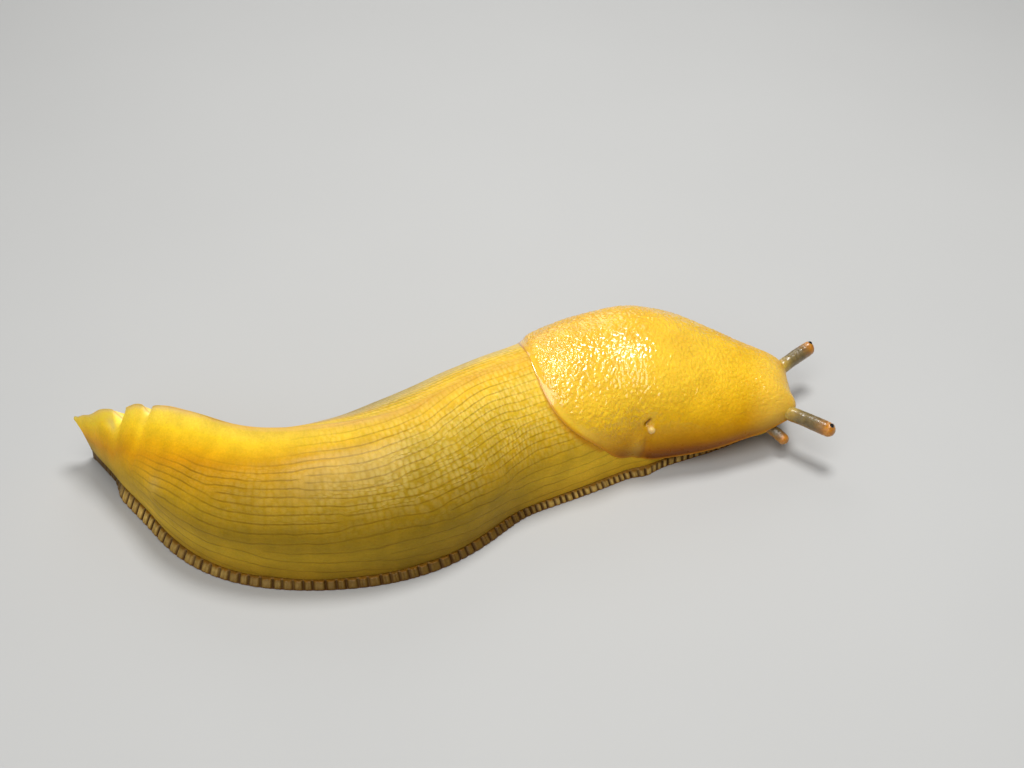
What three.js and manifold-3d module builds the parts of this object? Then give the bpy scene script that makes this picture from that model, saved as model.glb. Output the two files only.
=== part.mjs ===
// A banana slug at life size, creeping with its tail to the left and its head to the right.
// Millimetres, +Z up. The flat sole lies on z = 0 and the origin is under the middle of the box.
import * as THREE from 'three';
import * as BufferGeometryUtils from 'three/addons/utils/BufferGeometryUtils.js';
import Module from 'manifold-3d';

const wasm = await Module();
wasm.setup();

// The clearance between pieces that touch, and the ends of the nodes along the middle line.
const gap = 0.3;
const bodyLength = 144.2;
const tailEnd = 30;
const torsoRearEnd = 52;
const torsoMiddleEnd = 74;
const torsoFrontEnd = 96;
const neckEnd = 121;

// The middle line starts under the tip of the tail and is bent by a heading, in degrees from +X
// towards +Y, given at some lengths along it.
const tailTip = { x: -67.49, y: 2.56 };
const bends = [
  { at: 0, heading: -31 },
  { at: 15, heading: -29 },
  { at: 29, heading: -33 },
  { at: 44, heading: 3 },
  { at: 58, heading: 20 },
  { at: 73, heading: 40 },
  { at: 88, heading: 28 },
  { at: 102, heading: 31 },
  { at: 120, heading: -1 },
  { at: 134, heading: -5 },
  { at: 146, heading: -3 },
];

// Cross-sections of the bare body: height of the back, half width of the flanks, half width of
// the foot at its fringe, sideways lean of the back in degrees, and how sharp the keel is, from
// 1, a round back, to 2.6, a fin.
const bodySections = [
  { at: 0, back: 11.2, side: 1.2, foot: 1, lean: -12, keel: 2.6 },
  { at: 10, back: 17.8, side: 5.4, foot: 5.9, lean: -2, keel: 2.6 },
  { at: 24, back: 21.4, side: 9.7, foot: 10.4, lean: 8, keel: 2.5 },
  { at: 41, back: 23, side: 12.7, foot: 13.5, lean: 9, keel: 2.2 },
  { at: 62, back: 23.8, side: 15.6, foot: 16.3, lean: 0, keel: 1.8 },
  { at: 82, back: 23.4, side: 14.4, foot: 15, lean: 0, keel: 1.5 },
  { at: 103, back: 22.8, side: 14.8, foot: 15.8, lean: 1, keel: 1.2 },
  { at: 114, back: 22, side: 14.9, foot: 16.1, lean: 1, keel: 1 },
  { at: 123, back: 18, side: 12.6, foot: 12.8, lean: 0, keel: 1 },
  { at: 133, back: 13, side: 8.6, foot: 8.2, lean: -2, keel: 1 },
  { at: 143, back: 10, side: 7, foot: 6.6, lean: -3, keel: 1 },
];

// The mantle's outer face over the same middle line.
const mantleSections = [
  { at: 86, back: 23.9, side: 14.8, foot: 15, lean: 0.5, keel: 1.4 },
  { at: 103, back: 23.8, side: 15.5, foot: 15.4, lean: 1.5, keel: 1.15 },
  { at: 117, back: 22.6, side: 16.1, foot: 16.5, lean: 1, keel: 1 },
  { at: 129, back: 17.6, side: 14.1, foot: 14.6, lean: -1, keel: 1 },
  { at: 138.5, back: 14.2, side: 10.7, foot: 10.7, lean: -2.5, keel: 1 },
  { at: 145.5, back: 12.8, side: 9.3, foot: 9, lean: -3.5, keel: 1 },
];

// How a cross-section is drawn: the height of its widest line as a share of the back, the least
// rise of that line over the foot, the least half width, the inset of the groove above the foot
// and its least share of the half width, how much of the back's height a closing end keeps, and
// how narrow the strip is that a dip in the keel lowers.
const widestShare = 0.36;
const widestRise = 0.4;
const leastSide = 0.3;
const grooveInset = 0.2;
const grooveShare = 0.35;
const endBackShare = 0.25;
const crestPower = 8;

// Foot: a thin muscular sole whose edge is a fringe of small blocks parted by furrows.
const footThickness = 2;
const fringeRun = 1.3;
const fringeProfile = [
  { inward: 0, up: 0 },
  { inward: 0.2, up: 0.5 },
  { inward: 1, up: 1 },
];
const pedalGroove = 1.7;
const blockLength = 1.75;
const blockVariation = 0.35;
const furrowHalfWidth = 0.2;
const furrowDepth = 0.5;
const footFront = 138.5;
const footFrontRound = 10;
const footFrontPower = 2.1;
const footRearRound = 1.3;
const footRearPower = 2;
const leastFootHalf = 0.5;
const fringeStart = 0.5;
const fringeEnd = 136;
const footStep = 4;
const footRearEnd = 50;
const footMiddleEnd = 98;

// Tail: dips along the top of the keel, the rounding of its tip, and how far the top of the keel
// reaches back past the end of the foot.
const keelDips = [
  { at: 9.2, depth: 3.1, spread: 1.3 },
  { at: 15.3, depth: 1.6, spread: 0.95 },
];
const tailRound = 1.1;
const tailTipRings = [{ scale: 0.82, shift: 0.6 }, { scale: 0.45, shift: 1 }];
const tailOverhang = 1.5;
const tailOverhangEnd = 9;

// Mantle: where its rear margin crosses the back, how fast the margin sweeps forward as it comes
// down the flanks, how much further forward it lies on the left, the height of its lower margin,
// its thickness, and the blunt front of the hood with a bulge over each upper tentacle.
const marginStart = 91.6;
const marginSweep = 27.5;
const marginPower = 1.9;
const marginSkew = 0.2;
const marginTop = 24.6;
const lowerMargin = [
  { at: 90, height: 4.4 },
  { at: 109, height: 4.2 },
  { at: 118.5, height: 3.1 },
  { at: 128.5, height: 3.6 },
  { at: 145.5, height: 7.2 },
];
const mantleThickness = 2.6;
const mantleCover = 7;
const hoodRound = 8;
const hoodBluntness = 2.6;
const hoodBulge = {
  from: 133.5,
  spread: 2.8,
  right: { out: 5.4, reach: 2.2 },
  left: { out: 7.2, reach: 1.6 },
};

// Breathing pore on the right flank of the mantle, with a furrow from it to the margin.
const pore = { at: 111.8, height: 12.2, length: 3, width: 1.1, depth: 2.2 };
const poreFurrow = { halfWidth: 0.4, depth: 0.4, clear: 0.5 };

// Head: the snout under the hood, the core that fills the mantle and starts a little behind its
// front, and the mouth, a slit and a cleft below it between two side lips and an upper lip. Each
// sits a little behind the front of the snout.
const snoutFront = 142.4;
const snoutRound = 7;
const snoutPower = 2.2;
const coreStart = 93.6;
const coreSetback = 0.6;
const hollowSetback = 0.3;
const slit = { height: 3.9, behind: 0.9, halfWidth: 1.8, halfHeight: 0.35, depth: 1.8 };
const cleft = { height: 2.8, behind: 0.7, halfWidth: 0.35, halfHeight: 1.5, depth: 1.8 };
const sideLip = { height: 3.1, behind: 1.3, halfWidth: 1.5, halfHeight: 1.06, depth: 1.6, out: 1.5 };
const upperLip = { height: 4.9, behind: 1.4, halfWidth: 1.8, halfHeight: 0.75, depth: 1.6 };

// Tentacles: root and tip as length along the middle line, distance out from it and height, with
// the radii from root to bulb. The shorter lower pair tastes the ground. The middle of a stalk is
// lifted a little, and the eye is set into the upper side of the bulb.
const tentacles = {
  upper: {
    radii: [1.75, 1.55, 1.42, 1.36, 1.36, 1.4, 1.38],
    right: { root: { at: 139.4, out: 3.4, height: 7.4 }, tip: { at: 149.8, out: 10.8, height: 8.3 } },
    left: { root: { at: 139.4, out: 4.4, height: 7 }, tip: { at: 148.3, out: 12.1, height: 8.9 } },
  },
  lower: {
    radii: [1.35, 1.22, 1.1, 1.04, 1.06, 1.08],
    right: { root: { at: 137.4, out: 4.6, height: 5.2 }, tip: { at: 142.5, out: 8.3, height: 3.4 } },
    left: { root: { at: 137.4, out: 4.4, height: 5.2 }, tip: { at: 143.2, out: 7.8, height: 3.2 } },
  },
};
const sides = [{ name: 'right', sign: -1 }, { name: 'left', sign: 1 }];
const stalkLift = 0.4;
const bulbAngles = [35, 65];
const eyeRadius = 0.55;
const eyeGap = 0.15;
const eyeSeat = { along: 0.35, up: 0.78 };

// Fineness of the surfaces.
const archSteps = 16;
const flankSteps = 3;
const bodyStep = 3.8;
const tailStep = 0.9;
const tailFineEnd = 20;
const mantleStep = 3.9;
const endRings = 7;
const tentacleSides = 9;
const sphereSides = 10;
const sphereRings = 7;
const pathStep = 0.25;
const pathSpare = 20;

// Blocks of space that part the nodes: how far they reach to the sides, below the sole and above
// the back.
const sliceReach = 24;
const sliceFloor = -1;
const sliceCeiling = 40;
const sliceStep = 6;

const degrees = Math.PI / 180;

// A small repeatable source of variation between 0 and 1.
function seeded(seed) {
  const multiplier = 16807;
  const modulus = 2147483647;
  let state = seed;
  return () => {
    state = (state * multiplier) % modulus;
    return state / modulus;
  };
}

// Smooth value of one column of a table at a length along the middle line: a cubic through the
// rows, whose slope at each row is the weighted mean of the slopes on its two sides.
function tableValue(rows, key, at) {
  const last = rows.length - 1;
  const clamped = Math.min(Math.max(at, rows[0].at), rows[last].at);
  const slopeOf = (i) => (rows[i + 1][key] - rows[i][key]) / (rows[i + 1].at - rows[i].at);
  const tangent = (i) => {
    if (i === 0) return slopeOf(0);
    if (i === last) return slopeOf(last - 1);
    const before = rows[i].at - rows[i - 1].at;
    const after = rows[i + 1].at - rows[i].at;
    return (slopeOf(i - 1) * after + slopeOf(i) * before) / (before + after);
  };
  let i = 0;
  while (i < last - 1 && clamped > rows[i + 1].at) i += 1;
  const span = rows[i + 1].at - rows[i].at;
  const u = (clamped - rows[i].at) / span;
  const startShare = (1 + 2 * u) * (1 - u) ** 2;
  const endShare = u * u * (3 - 2 * u);
  const startTangent = u * (1 - u) ** 2 * span * tangent(i);
  const endTangent = u * u * (u - 1) * span * tangent(i + 1);
  return startShare * rows[i][key] + startTangent + endShare * rows[i + 1][key] + endTangent;
}

// The middle line, summed in small steps, and the point and direction at any length along it.
const pathPoints = [];
{
  let x = tailTip.x;
  let y = tailTip.y;
  for (let at = 0; at <= bodyLength + pathSpare; at += pathStep) {
    pathPoints.push({ x, y });
    const heading = tableValue(bends, 'heading', at + pathStep / 2) * degrees;
    x += Math.cos(heading) * pathStep;
    y += Math.sin(heading) * pathStep;
  }
}

function place(at) {
  const heading = tableValue(bends, 'heading', at) * degrees;
  const whole = Math.min(Math.max(Math.round(at / pathStep), 0), pathPoints.length - 1);
  const rest = at - whole * pathStep;
  const x = pathPoints[whole].x + rest * Math.cos(heading);
  const y = pathPoints[whole].y + rest * Math.sin(heading);
  return { x, y, forwardX: Math.cos(heading), forwardY: Math.sin(heading) };
}

// A point given by its length along the middle line, its distance to the left of it and height.
function pointAt(at, left, height, ahead = 0) {
  const p = place(at);
  const x = p.x - left * p.forwardY + ahead * p.forwardX;
  const y = p.y + left * p.forwardX + ahead * p.forwardY;
  return new THREE.Vector3(x, y, height);
}

// A closed mesh through rings of equal point counts, with a fan over each end.
function loft(rings) {
  const count = rings[0].length;
  const points = rings.flat();
  const triangles = [];
  for (let i = 0; i < rings.length - 1; i += 1) {
    for (let j = 0; j < count; j += 1) {
      const a = i * count + j;
      const b = i * count + ((j + 1) % count);
      triangles.push(a, b, a + count, b, b + count, a + count);
    }
  }
  const fan = (ring, start, forwards) => {
    const middle = ring.reduce((sum, p) => sum.add(p), new THREE.Vector3()).divideScalar(count);
    const centre = points.push(middle) - 1;
    for (let j = 0; j < count; j += 1) {
      const a = start + j;
      const b = start + ((j + 1) % count);
      if (forwards) triangles.push(centre, a, b);
      else triangles.push(centre, b, a);
    }
  };
  fan(rings[0], 0, false);
  fan(rings[rings.length - 1], (rings.length - 1) * count, true);
  const geometry = new THREE.BufferGeometry();
  const flat = new Float32Array(points.flatMap((p) => [p.x, p.y, p.z]));
  geometry.setAttribute('position', new THREE.BufferAttribute(flat, 3));
  geometry.setIndex(triangles);
  if (signedVolume(geometry) < 0) turnInsideOut(geometry);
  return geometry;
}

function signedVolume(geometry) {
  const p = geometry.attributes.position;
  const index = geometry.index.array;
  const a = new THREE.Vector3();
  const b = new THREE.Vector3();
  const c = new THREE.Vector3();
  let six = 0;
  for (let i = 0; i < index.length; i += 3) {
    a.fromBufferAttribute(p, index[i]);
    b.fromBufferAttribute(p, index[i + 1]);
    c.fromBufferAttribute(p, index[i + 2]);
    six += a.dot(b.cross(c));
  }
  return six / 6;
}

function turnInsideOut(geometry) {
  const index = geometry.index.array;
  for (let i = 0; i < index.length; i += 3) {
    [index[i + 1], index[i + 2]] = [index[i + 2], index[i + 1]];
  }
}

// Booleans: a closed geometry becomes a solid, and a solid's largest closed surface comes back.
function solid(geometry) {
  const bare = geometry.clone();
  bare.deleteAttribute('normal');
  bare.deleteAttribute('uv');
  const merged = BufferGeometryUtils.mergeVertices(bare, 1e-4);
  const mesh = new wasm.Mesh({
    numProp: 3,
    vertProperties: Float32Array.from(merged.attributes.position.array),
    triVerts: Uint32Array.from(merged.index.array),
  });
  return new wasm.Manifold(mesh);
}

function geometryOf(manifold) {
  const pieces = manifold.decompose();
  const largest = pieces.reduce((best, piece) => (piece.volume() > best.volume() ? piece : best));
  const mesh = largest.getMesh();
  const geometry = new THREE.BufferGeometry();
  const flat = new Float32Array(mesh.vertProperties);
  geometry.setAttribute('position', new THREE.BufferAttribute(flat, 3));
  geometry.setIndex(Array.from(mesh.triVerts));
  return geometry;
}

// Lengths from start to end, evenly spaced and no further apart than the step.
function stations(start, end, step) {
  const count = Math.max(1, Math.ceil((end - start) / step));
  return Array.from({ length: count + 1 }, (_, i) => start + ((end - start) * i) / count);
}

// How far a blunt end has closed: 1 where its rounding starts, 0 at its tip.
function bluntShare(at, end, round, power) {
  const u = Math.min(Math.max((at - (end - round)) / round, 0), 1);
  return (1 - u ** power) ** (1 / power);
}

// Lengths that crowd towards a blunt end, for a smooth curve over it that stops just short of it.
function roundStations(end, round, count) {
  const shortOfEnd = 0.35;
  return Array.from({ length: count }, (_, i) => {
    const angle = ((i + 1) / (count + shortOfEnd)) * (Math.PI / 2);
    return end - round + round * Math.sin(angle);
  });
}

// One cross-section of the body or the mantle. The back is an arch over the widest line, drawn
// in to a keel by raising its sine to a power; each flank curves in below that line to the groove
// above the foot. A positive grow swells the section outwards. shrink closes a blunt end.
function sectionRing(rows, at, options = {}) {
  const { grow = 0, shrink = 1, dips = [] } = options;
  const floor = footThickness + gap;
  const tall = endBackShare + (1 - endBackShare) * shrink;
  const back = floor + (tableValue(rows, 'back', at) + grow - floor) * tall;
  const side = Math.max((tableValue(rows, 'side', at) + grow) * shrink, leastSide);
  const underFoot = tableValue(rows, 'foot', at) * shrink - pedalGroove + grow;
  const groove = Math.max(Math.min(underFoot, side - grooveInset), side * grooveShare);
  const lean = tableValue(rows, 'lean', at) * degrees;
  const keel = tableValue(rows, 'keel', at);
  const widest = Math.max(widestShare * back, floor + widestRise);
  const ring = [];
  const rolled = (left, height) => [
    left * Math.cos(lean) + (height - widest) * Math.sin(lean),
    widest - left * Math.sin(lean) + (height - widest) * Math.cos(lean),
  ];
  for (let i = 0; i <= archSteps; i += 1) {
    const angle = (i / archSteps - 0.5) * Math.PI;
    const sine = Math.sin(angle);
    const crest = Math.cos(angle) ** crestPower;
    const dip = dips.reduce((sum, d) => sum + d.depth * Math.exp(-(((at - d.at) / d.spread) ** 2)), 0);
    const left = side * Math.sign(sine) * Math.abs(sine) ** keel;
    const height = widest + (back - widest) * Math.cos(angle) - dip * crest;
    const overhang = tailOverhang * Math.max(1 - at / tailOverhangEnd, 0) * Math.cos(angle) ** 2;
    ring.push(pointAt(at, ...rolled(left, height), -overhang));
  }
  for (const [sign, order] of [[1, 1], [-1, -1]]) {
    const [outer, top] = rolled(sign * side, widest);
    const flank = [];
    for (let i = 1; i <= flankSteps; i += 1) {
      const angle = (1 - i / flankSteps) * (Math.PI / 2);
      const left = sign * groove + (outer - sign * groove) * Math.sin(angle);
      const height = top - (top - floor) * Math.cos(angle);
      flank.push(pointAt(at, left, height));
    }
    ring.push(...(order > 0 ? flank : flank.reverse()));
  }
  return ring;
}

function bodyLoft(start, end) {
  const fine = start < tailFineEnd ? stations(start, Math.min(end, tailFineEnd), tailStep) : [];
  const coarseStart = Math.max(start, Math.min(end, tailFineEnd));
  const coarse = coarseStart < end ? stations(coarseStart, end, bodyStep) : [];
  const lengths = [...new Set([...fine, ...coarse])];
  return lengths.map((at) => sectionRing(bodySections, at, { dips: keelDips }));
}

// Tail: its tip is rounded off by two smaller sections just behind the first.
function tailGeometry() {
  const rings = bodyLoft(0, tailEnd - gap / 2);
  const first = rings[0];
  const middle = first.reduce((sum, p) => sum.add(p), new THREE.Vector3()).divideScalar(first.length);
  const back = pointAt(0, 0, 0, -1).sub(pointAt(0, 0, 0));
  for (const { scale, shift } of tailTipRings) {
    const ring = first.map((p) => {
      const q = middle.clone().lerp(p, scale);
      return q.addScaledVector(back, tailRound * shift);
    });
    rings.unshift(ring);
  }
  return loft(rings);
}

// Mantle: the height of its margin at a length along the body, and all the space above it.
function marginHeight(at) {
  const low = tableValue(lowerMargin, 'height', at);
  const sweep = Math.max(at - marginStart, 0) / marginSweep;
  return Math.max(low, marginTop * (1 - sweep ** (1 / marginPower)));
}

function aboveMargin(clearance) {
  const reach = 17.6;
  const steepCount = 14;
  const steepEnd = 19;
  const crowding = 2.2;
  const even = stations(marginStart + steepEnd + 5, bodyLength + sliceStep, sliceStep);
  const steep = Array.from({ length: steepCount }, (_, i) => {
    return marginStart + 0.05 + steepEnd * (i / (steepCount - 1)) ** crowding;
  });
  const lengths = [...steep, ...even];
  const rings = lengths.map((at) => {
    const low = marginHeight(at) - clearance;
    const right = at - clearance - marginSkew * reach;
    const left = at - clearance + marginSkew * reach;
    return [
      pointAt(right, -reach, low),
      pointAt(left, reach, low),
      pointAt(left, reach, sliceCeiling),
      pointAt(right, -reach, sliceCeiling),
    ];
  });
  return solid(loft(rings));
}

// The front of the hood bulges a little over the root of each upper tentacle.
function bulgeHood(ring, at) {
  const share = Math.min(Math.max((at - hoodBulge.from) / (bodyLength - hoodBulge.from), 0), 1);
  const p = place(at);
  return ring.map((q) => {
    const left = -(q.x - p.x) * p.forwardY + (q.y - p.y) * p.forwardX;
    const { out, reach } = left > 0 ? hoodBulge.left : hoodBulge.right;
    const bump = Math.exp(-(((Math.abs(left) - out) / hoodBulge.spread) ** 2));
    const shift = share * reach * bump;
    return new THREE.Vector3(q.x + shift * p.forwardX, q.y + shift * p.forwardY, q.z);
  });
}

function mantleLoft(grow, end) {
  const lengths = [
    ...stations(marginStart - mantleCover, end - hoodRound, mantleStep),
    ...roundStations(end, hoodRound, endRings),
  ];
  const rings = lengths.map((at) => {
    const shrink = bluntShare(at, end, hoodRound, hoodBluntness);
    const ring = sectionRing(mantleSections, at, { grow, shrink });
    return bulgeHood(ring, at);
  });
  return loft(rings);
}

// A slice of space across the body between two lengths along it.
function slice(start, end) {
  const rings = stations(start, end, sliceStep).map((at) => [
    pointAt(at, -sliceReach, sliceFloor),
    pointAt(at, sliceReach, sliceFloor),
    pointAt(at, sliceReach, sliceCeiling),
    pointAt(at, -sliceReach, sliceCeiling),
  ]);
  return solid(loft(rings));
}

function ellipsoid(centre, radii, turn) {
  const geometry = new THREE.SphereGeometry(1, sphereSides, sphereRings);
  geometry.scale(...radii);
  geometry.rotateZ(turn);
  geometry.translate(centre.x, centre.y, centre.z);
  return solid(geometry);
}

function headingAt(at) {
  return tableValue(bends, 'heading', at) * degrees;
}

// The body up to the snout, swollen by an even amount.
function bodyToSnout(start, grow) {
  const front = snoutFront + grow;
  const lengths = [
    ...stations(start, front - snoutRound, bodyStep),
    ...roundStations(front, snoutRound, endRings),
  ];
  return solid(loft(lengths.map((at) => {
    const shrink = bluntShare(at, front, snoutRound, snoutPower);
    return sectionRing(bodySections, at, { grow, shrink });
  })));
}

// The bare body from behind the mantle to the snout: what shows below the margin, and the core
// that fills the mantle.
function frontBody(start) {
  const core = solid(mantleLoft(-mantleThickness - gap, snoutFront - coreSetback));
  const shown = bodyToSnout(start, 0).subtract(aboveMargin(gap));
  return shown.add(core.intersect(slice(coreStart, bodyLength)));
}

// Tentacles: round stalks from inside the head to a bulb, bent slightly upwards.
function stalkCurve(pair, { name, sign }) {
  const { root, tip } = tentacles[pair][name];
  const start = pointAt(root.at, sign * root.out, root.height);
  const end = pointAt(tip.at, sign * tip.out, tip.height);
  const middle = start.clone().lerp(end, 0.5).add(new THREE.Vector3(0, 0, stalkLift));
  return new THREE.QuadraticBezierCurve3(start, middle, end);
}

function stalk(pair, side, grow = 0) {
  const curve = stalkCurve(pair, side);
  const { radii } = tentacles[pair];
  const last = radii.length - 1;
  const up = new THREE.Vector3(0, 0, 1);
  const ringAt = (share, radius, ahead = 0) => {
    const centre = curve.getPoint(share);
    const along = curve.getTangent(share);
    const across = new THREE.Vector3().crossVectors(along, up).normalize();
    const rise = new THREE.Vector3().crossVectors(across, along);
    centre.addScaledVector(along, ahead);
    return Array.from({ length: tentacleSides }, (_, j) => {
      const angle = (j / tentacleSides) * 2 * Math.PI;
      const p = centre.clone().addScaledVector(across, radius * Math.cos(angle));
      return p.addScaledVector(rise, radius * Math.sin(angle));
    });
  };
  const rings = radii.map((radius, i) => ringAt(i / last, radius + grow));
  const bulb = radii[last] + grow;
  for (const angle of bulbAngles) {
    rings.push(ringAt(1, bulb * Math.cos(angle * degrees), bulb * Math.sin(angle * degrees)));
  }
  return solid(loft(rings));
}

function eyeCentre(side) {
  const curve = stalkCurve('upper', side);
  const bulb = tentacles.upper.radii[tentacles.upper.radii.length - 1];
  const lift = new THREE.Vector3(0, 0, bulb * eyeSeat.up);
  return curve.getPoint(1).addScaledVector(curve.getTangent(1), bulb * eyeSeat.along).add(lift);
}

function eyeBall(centre, radius) {
  const geometry = new THREE.SphereGeometry(radius, sphereSides, sphereRings);
  geometry.translate(centre.x, centre.y, centre.z);
  return geometry;
}

// Foot: a flat sole with a sloping edge, drawn in sections like the body.
function footHalfWidth(at) {
  const front = bluntShare(at, footFront, footFrontRound, footFrontPower);
  const rear = bluntShare(-at, footRearRound, footRearRound, footRearPower);
  return Math.max(tableValue(bodySections, 'foot', at) * front * rear, leastFootHalf);
}

// The edge of the foot at one height, on the left (side 1) or the right (side -1).
function footEdge(at, side, row, deeper = 0) {
  const half = footHalfWidth(at);
  const share = Math.min(1, half / (2 * pedalGroove));
  const out = half - fringeRun * row.inward * share - deeper * share;
  return pointAt(at, side * out, footThickness * row.up);
}

function footRing(at) {
  const left = fringeProfile.map((row) => footEdge(at, 1, row));
  const right = fringeProfile.map((row) => footEdge(at, -1, row)).reverse();
  return [...left, ...right];
}

// One furrow of the fringe: a wedge across the sloping edge with its point inside the foot.
function furrow(at, side, depth) {
  const nudge = 0.3;
  const behind = footEdge(at - nudge, side, fringeProfile[0]);
  const along = footEdge(at + nudge, side, fringeProfile[0]).sub(behind).normalize();
  const outward = new THREE.Vector3(along.y, -along.x, 0).multiplyScalar(side > 0 ? -1 : 1);
  const overshoot = 0.5;
  const halfWidth = (furrowHalfWidth * (depth + overshoot)) / depth;
  const rows = [{ inward: -0.1, up: -0.2 }, { inward: 1.1, up: 1.2 }];
  return solid(loft(rows.map((row) => {
    const inner = footEdge(at, side, row, depth);
    const outer = footEdge(at, side, row).addScaledVector(outward, overshoot);
    const before = outer.clone().addScaledVector(along, -halfWidth);
    const after = outer.clone().addScaledVector(along, halfWidth);
    return [inner, before, after];
  })));
}

// All furrows of one side, a block apart along the edge of the foot.
function furrows(side, seed) {
  const random = seeded(seed);
  const march = 0.1;
  const leastDepth = 0.85;
  const depthRange = 0.3;
  const cuts = [];
  let travelled = 0;
  let block = blockLength;
  let previous = footEdge(fringeStart, side, fringeProfile[0]);
  for (let at = fringeStart + march; at < fringeEnd; at += march) {
    const edge = footEdge(at, side, fringeProfile[0]);
    travelled += edge.distanceTo(previous);
    previous = edge;
    if (travelled >= block) {
      cuts.push(furrow(at, side, furrowDepth * (leastDepth + depthRange * random())));
      travelled = 0;
      block = blockLength + (random() - 0.5) * 2 * blockVariation;
    }
  }
  return cuts;
}

function footLoft(start, end) {
  const straightEnd = Math.min(end, footFront - footFrontRound);
  const lengths = stations(start, straightEnd, footStep);
  if (start === 0) lengths.unshift(-footRearRound, -footRearRound / 2);
  if (end === footFront) lengths.push(...roundStations(footFront, footFrontRound, endRings));
  return solid(loft(lengths.map(footRing)));
}

// Colours and finish of the skin.
const finishes = {
  keel: { color: 0xf2b40f, roughness: 0.35, metalness: 0 },
  flank: { color: 0xd9a514, roughness: 0.42, metalness: 0 },
  mantle: { color: 0xf0aa12, roughness: 0.25, metalness: 0 },
  foot: { color: 0x9c7a2c, roughness: 0.5, metalness: 0 },
  head: { color: 0xb9922e, roughness: 0.4, metalness: 0 },
  tentacle: { color: 0x8d7a45, roughness: 0.4, metalness: 0 },
  eye: { color: 0x15110c, roughness: 0.15, metalness: 0 },
};

const slug = new THREE.Group();

function addPiece(name, geometry, finish) {
  const piece = new THREE.Mesh(geometry, new THREE.MeshStandardMaterial(finishes[finish]));
  piece.name = name;
  slug.add(piece);
}

// Tail and the torso behind the mantle.
addPiece('tail', tailGeometry(), 'keel');
addPiece('torso_rear', loft(bodyLoft(tailEnd + gap / 2, torsoRearEnd - gap / 2)), 'flank');
addPiece('torso_middle', loft(bodyLoft(torsoRearEnd + gap / 2, torsoMiddleEnd - gap / 2)), 'flank');

// Torso, neck and head under the mantle.
const front = frontBody(torsoMiddleEnd + gap / 2);
const torsoFront = front.intersect(slice(torsoMiddleEnd, torsoFrontEnd - gap / 2));
const neck = front.intersect(slice(torsoFrontEnd + gap / 2, neckEnd - gap / 2));
addPiece('torso_front', geometryOf(torsoFront), 'flank');
addPiece('neck', geometryOf(neck), 'flank');

// One part of the mouth: an ellipsoid set across the front of the snout.
function mouthPart(part, out = 0) {
  const centre = pointAt(snoutFront - part.behind, out, part.height);
  return ellipsoid(centre, [part.depth, part.halfWidth, part.halfHeight], headingAt(snoutFront));
}

const head = front.intersect(slice(neckEnd + gap / 2, bodyLength))
  .add(mouthPart(sideLip, -sideLip.out))
  .add(mouthPart(sideLip, sideLip.out))
  .add(mouthPart(upperLip))
  .subtract(mouthPart(slit))
  .subtract(mouthPart(cleft));
addPiece('head', geometryOf(head), 'head');

// Tentacles stand against the head with the clearance of touching pieces, and the hood is cut
// clear of them.
const snoutGrown = head.add(bodyToSnout(neckEnd, gap));
let hollow = solid(mantleLoft(-mantleThickness, snoutFront - hollowSetback));
for (const side of sides) {
  const eye = eyeCentre(side);
  const socket = solid(eyeBall(eye, eyeRadius + eyeGap));
  const upper = stalk('upper', side).subtract(snoutGrown).subtract(socket);
  const lower = stalk('lower', side).subtract(snoutGrown);
  addPiece(`tentacle_upper_${side.name}`, geometryOf(upper), 'tentacle');
  addPiece(`tentacle_lower_${side.name}`, geometryOf(lower), 'tentacle');
  addPiece(`eye_${side.name}`, eyeBall(eye, eyeRadius), 'eye');
  hollow = hollow.add(stalk('upper', side, gap)).add(stalk('lower', side, gap));
}

// The furrow from the breathing pore down to the margin: a wedge along the right flank, in over
// the face of the mantle by its depth and clear outside it.
function poreFurrowCut() {
  const inner = sectionRing(mantleSections, pore.at, { grow: -poreFurrow.depth });
  const rows = [
    sectionRing(mantleSections, pore.at - poreFurrow.halfWidth, { grow: poreFurrow.clear }),
    sectionRing(mantleSections, pore.at + poreFurrow.halfWidth, { grow: poreFurrow.clear }),
  ];
  const upwards = [...Array(flankSteps).keys()].map((i) => inner.length - flankSteps + i);
  return solid(loft([...upwards, 0, 1].map((i) => [inner[i], rows[0][i], rows[1][i]])));
}

// Mantle, hollow over the core, with its breathing pore.
const porePoint = pointAt(pore.at, -tableValue(mantleSections, 'side', pore.at), pore.height);
const poreRadii = [pore.width / 2, pore.depth, pore.length / 2];
const mantle = solid(mantleLoft(0, bodyLength))
  .intersect(aboveMargin(0))
  .subtract(hollow)
  .subtract(ellipsoid(porePoint, poreRadii, headingAt(pore.at)))
  .subtract(poreFurrowCut());
addPiece('mantle', geometryOf(mantle), 'mantle');

// Foot in three lengths, its furrows cut all along both sides.
const fringe = [...furrows(1, 11), ...furrows(-1, 29)].reduce((all, cut) => all.add(cut));
const footParts = [
  ['foot_rear', 0, footRearEnd - gap / 2],
  ['foot_middle', footRearEnd + gap / 2, footMiddleEnd - gap / 2],
  ['foot_front', footMiddleEnd + gap / 2, footFront],
];
for (const [name, start, end] of footParts) {
  addPiece(name, geometryOf(footLoft(start, end).subtract(fringe)), 'foot');
}

export default slug;
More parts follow.
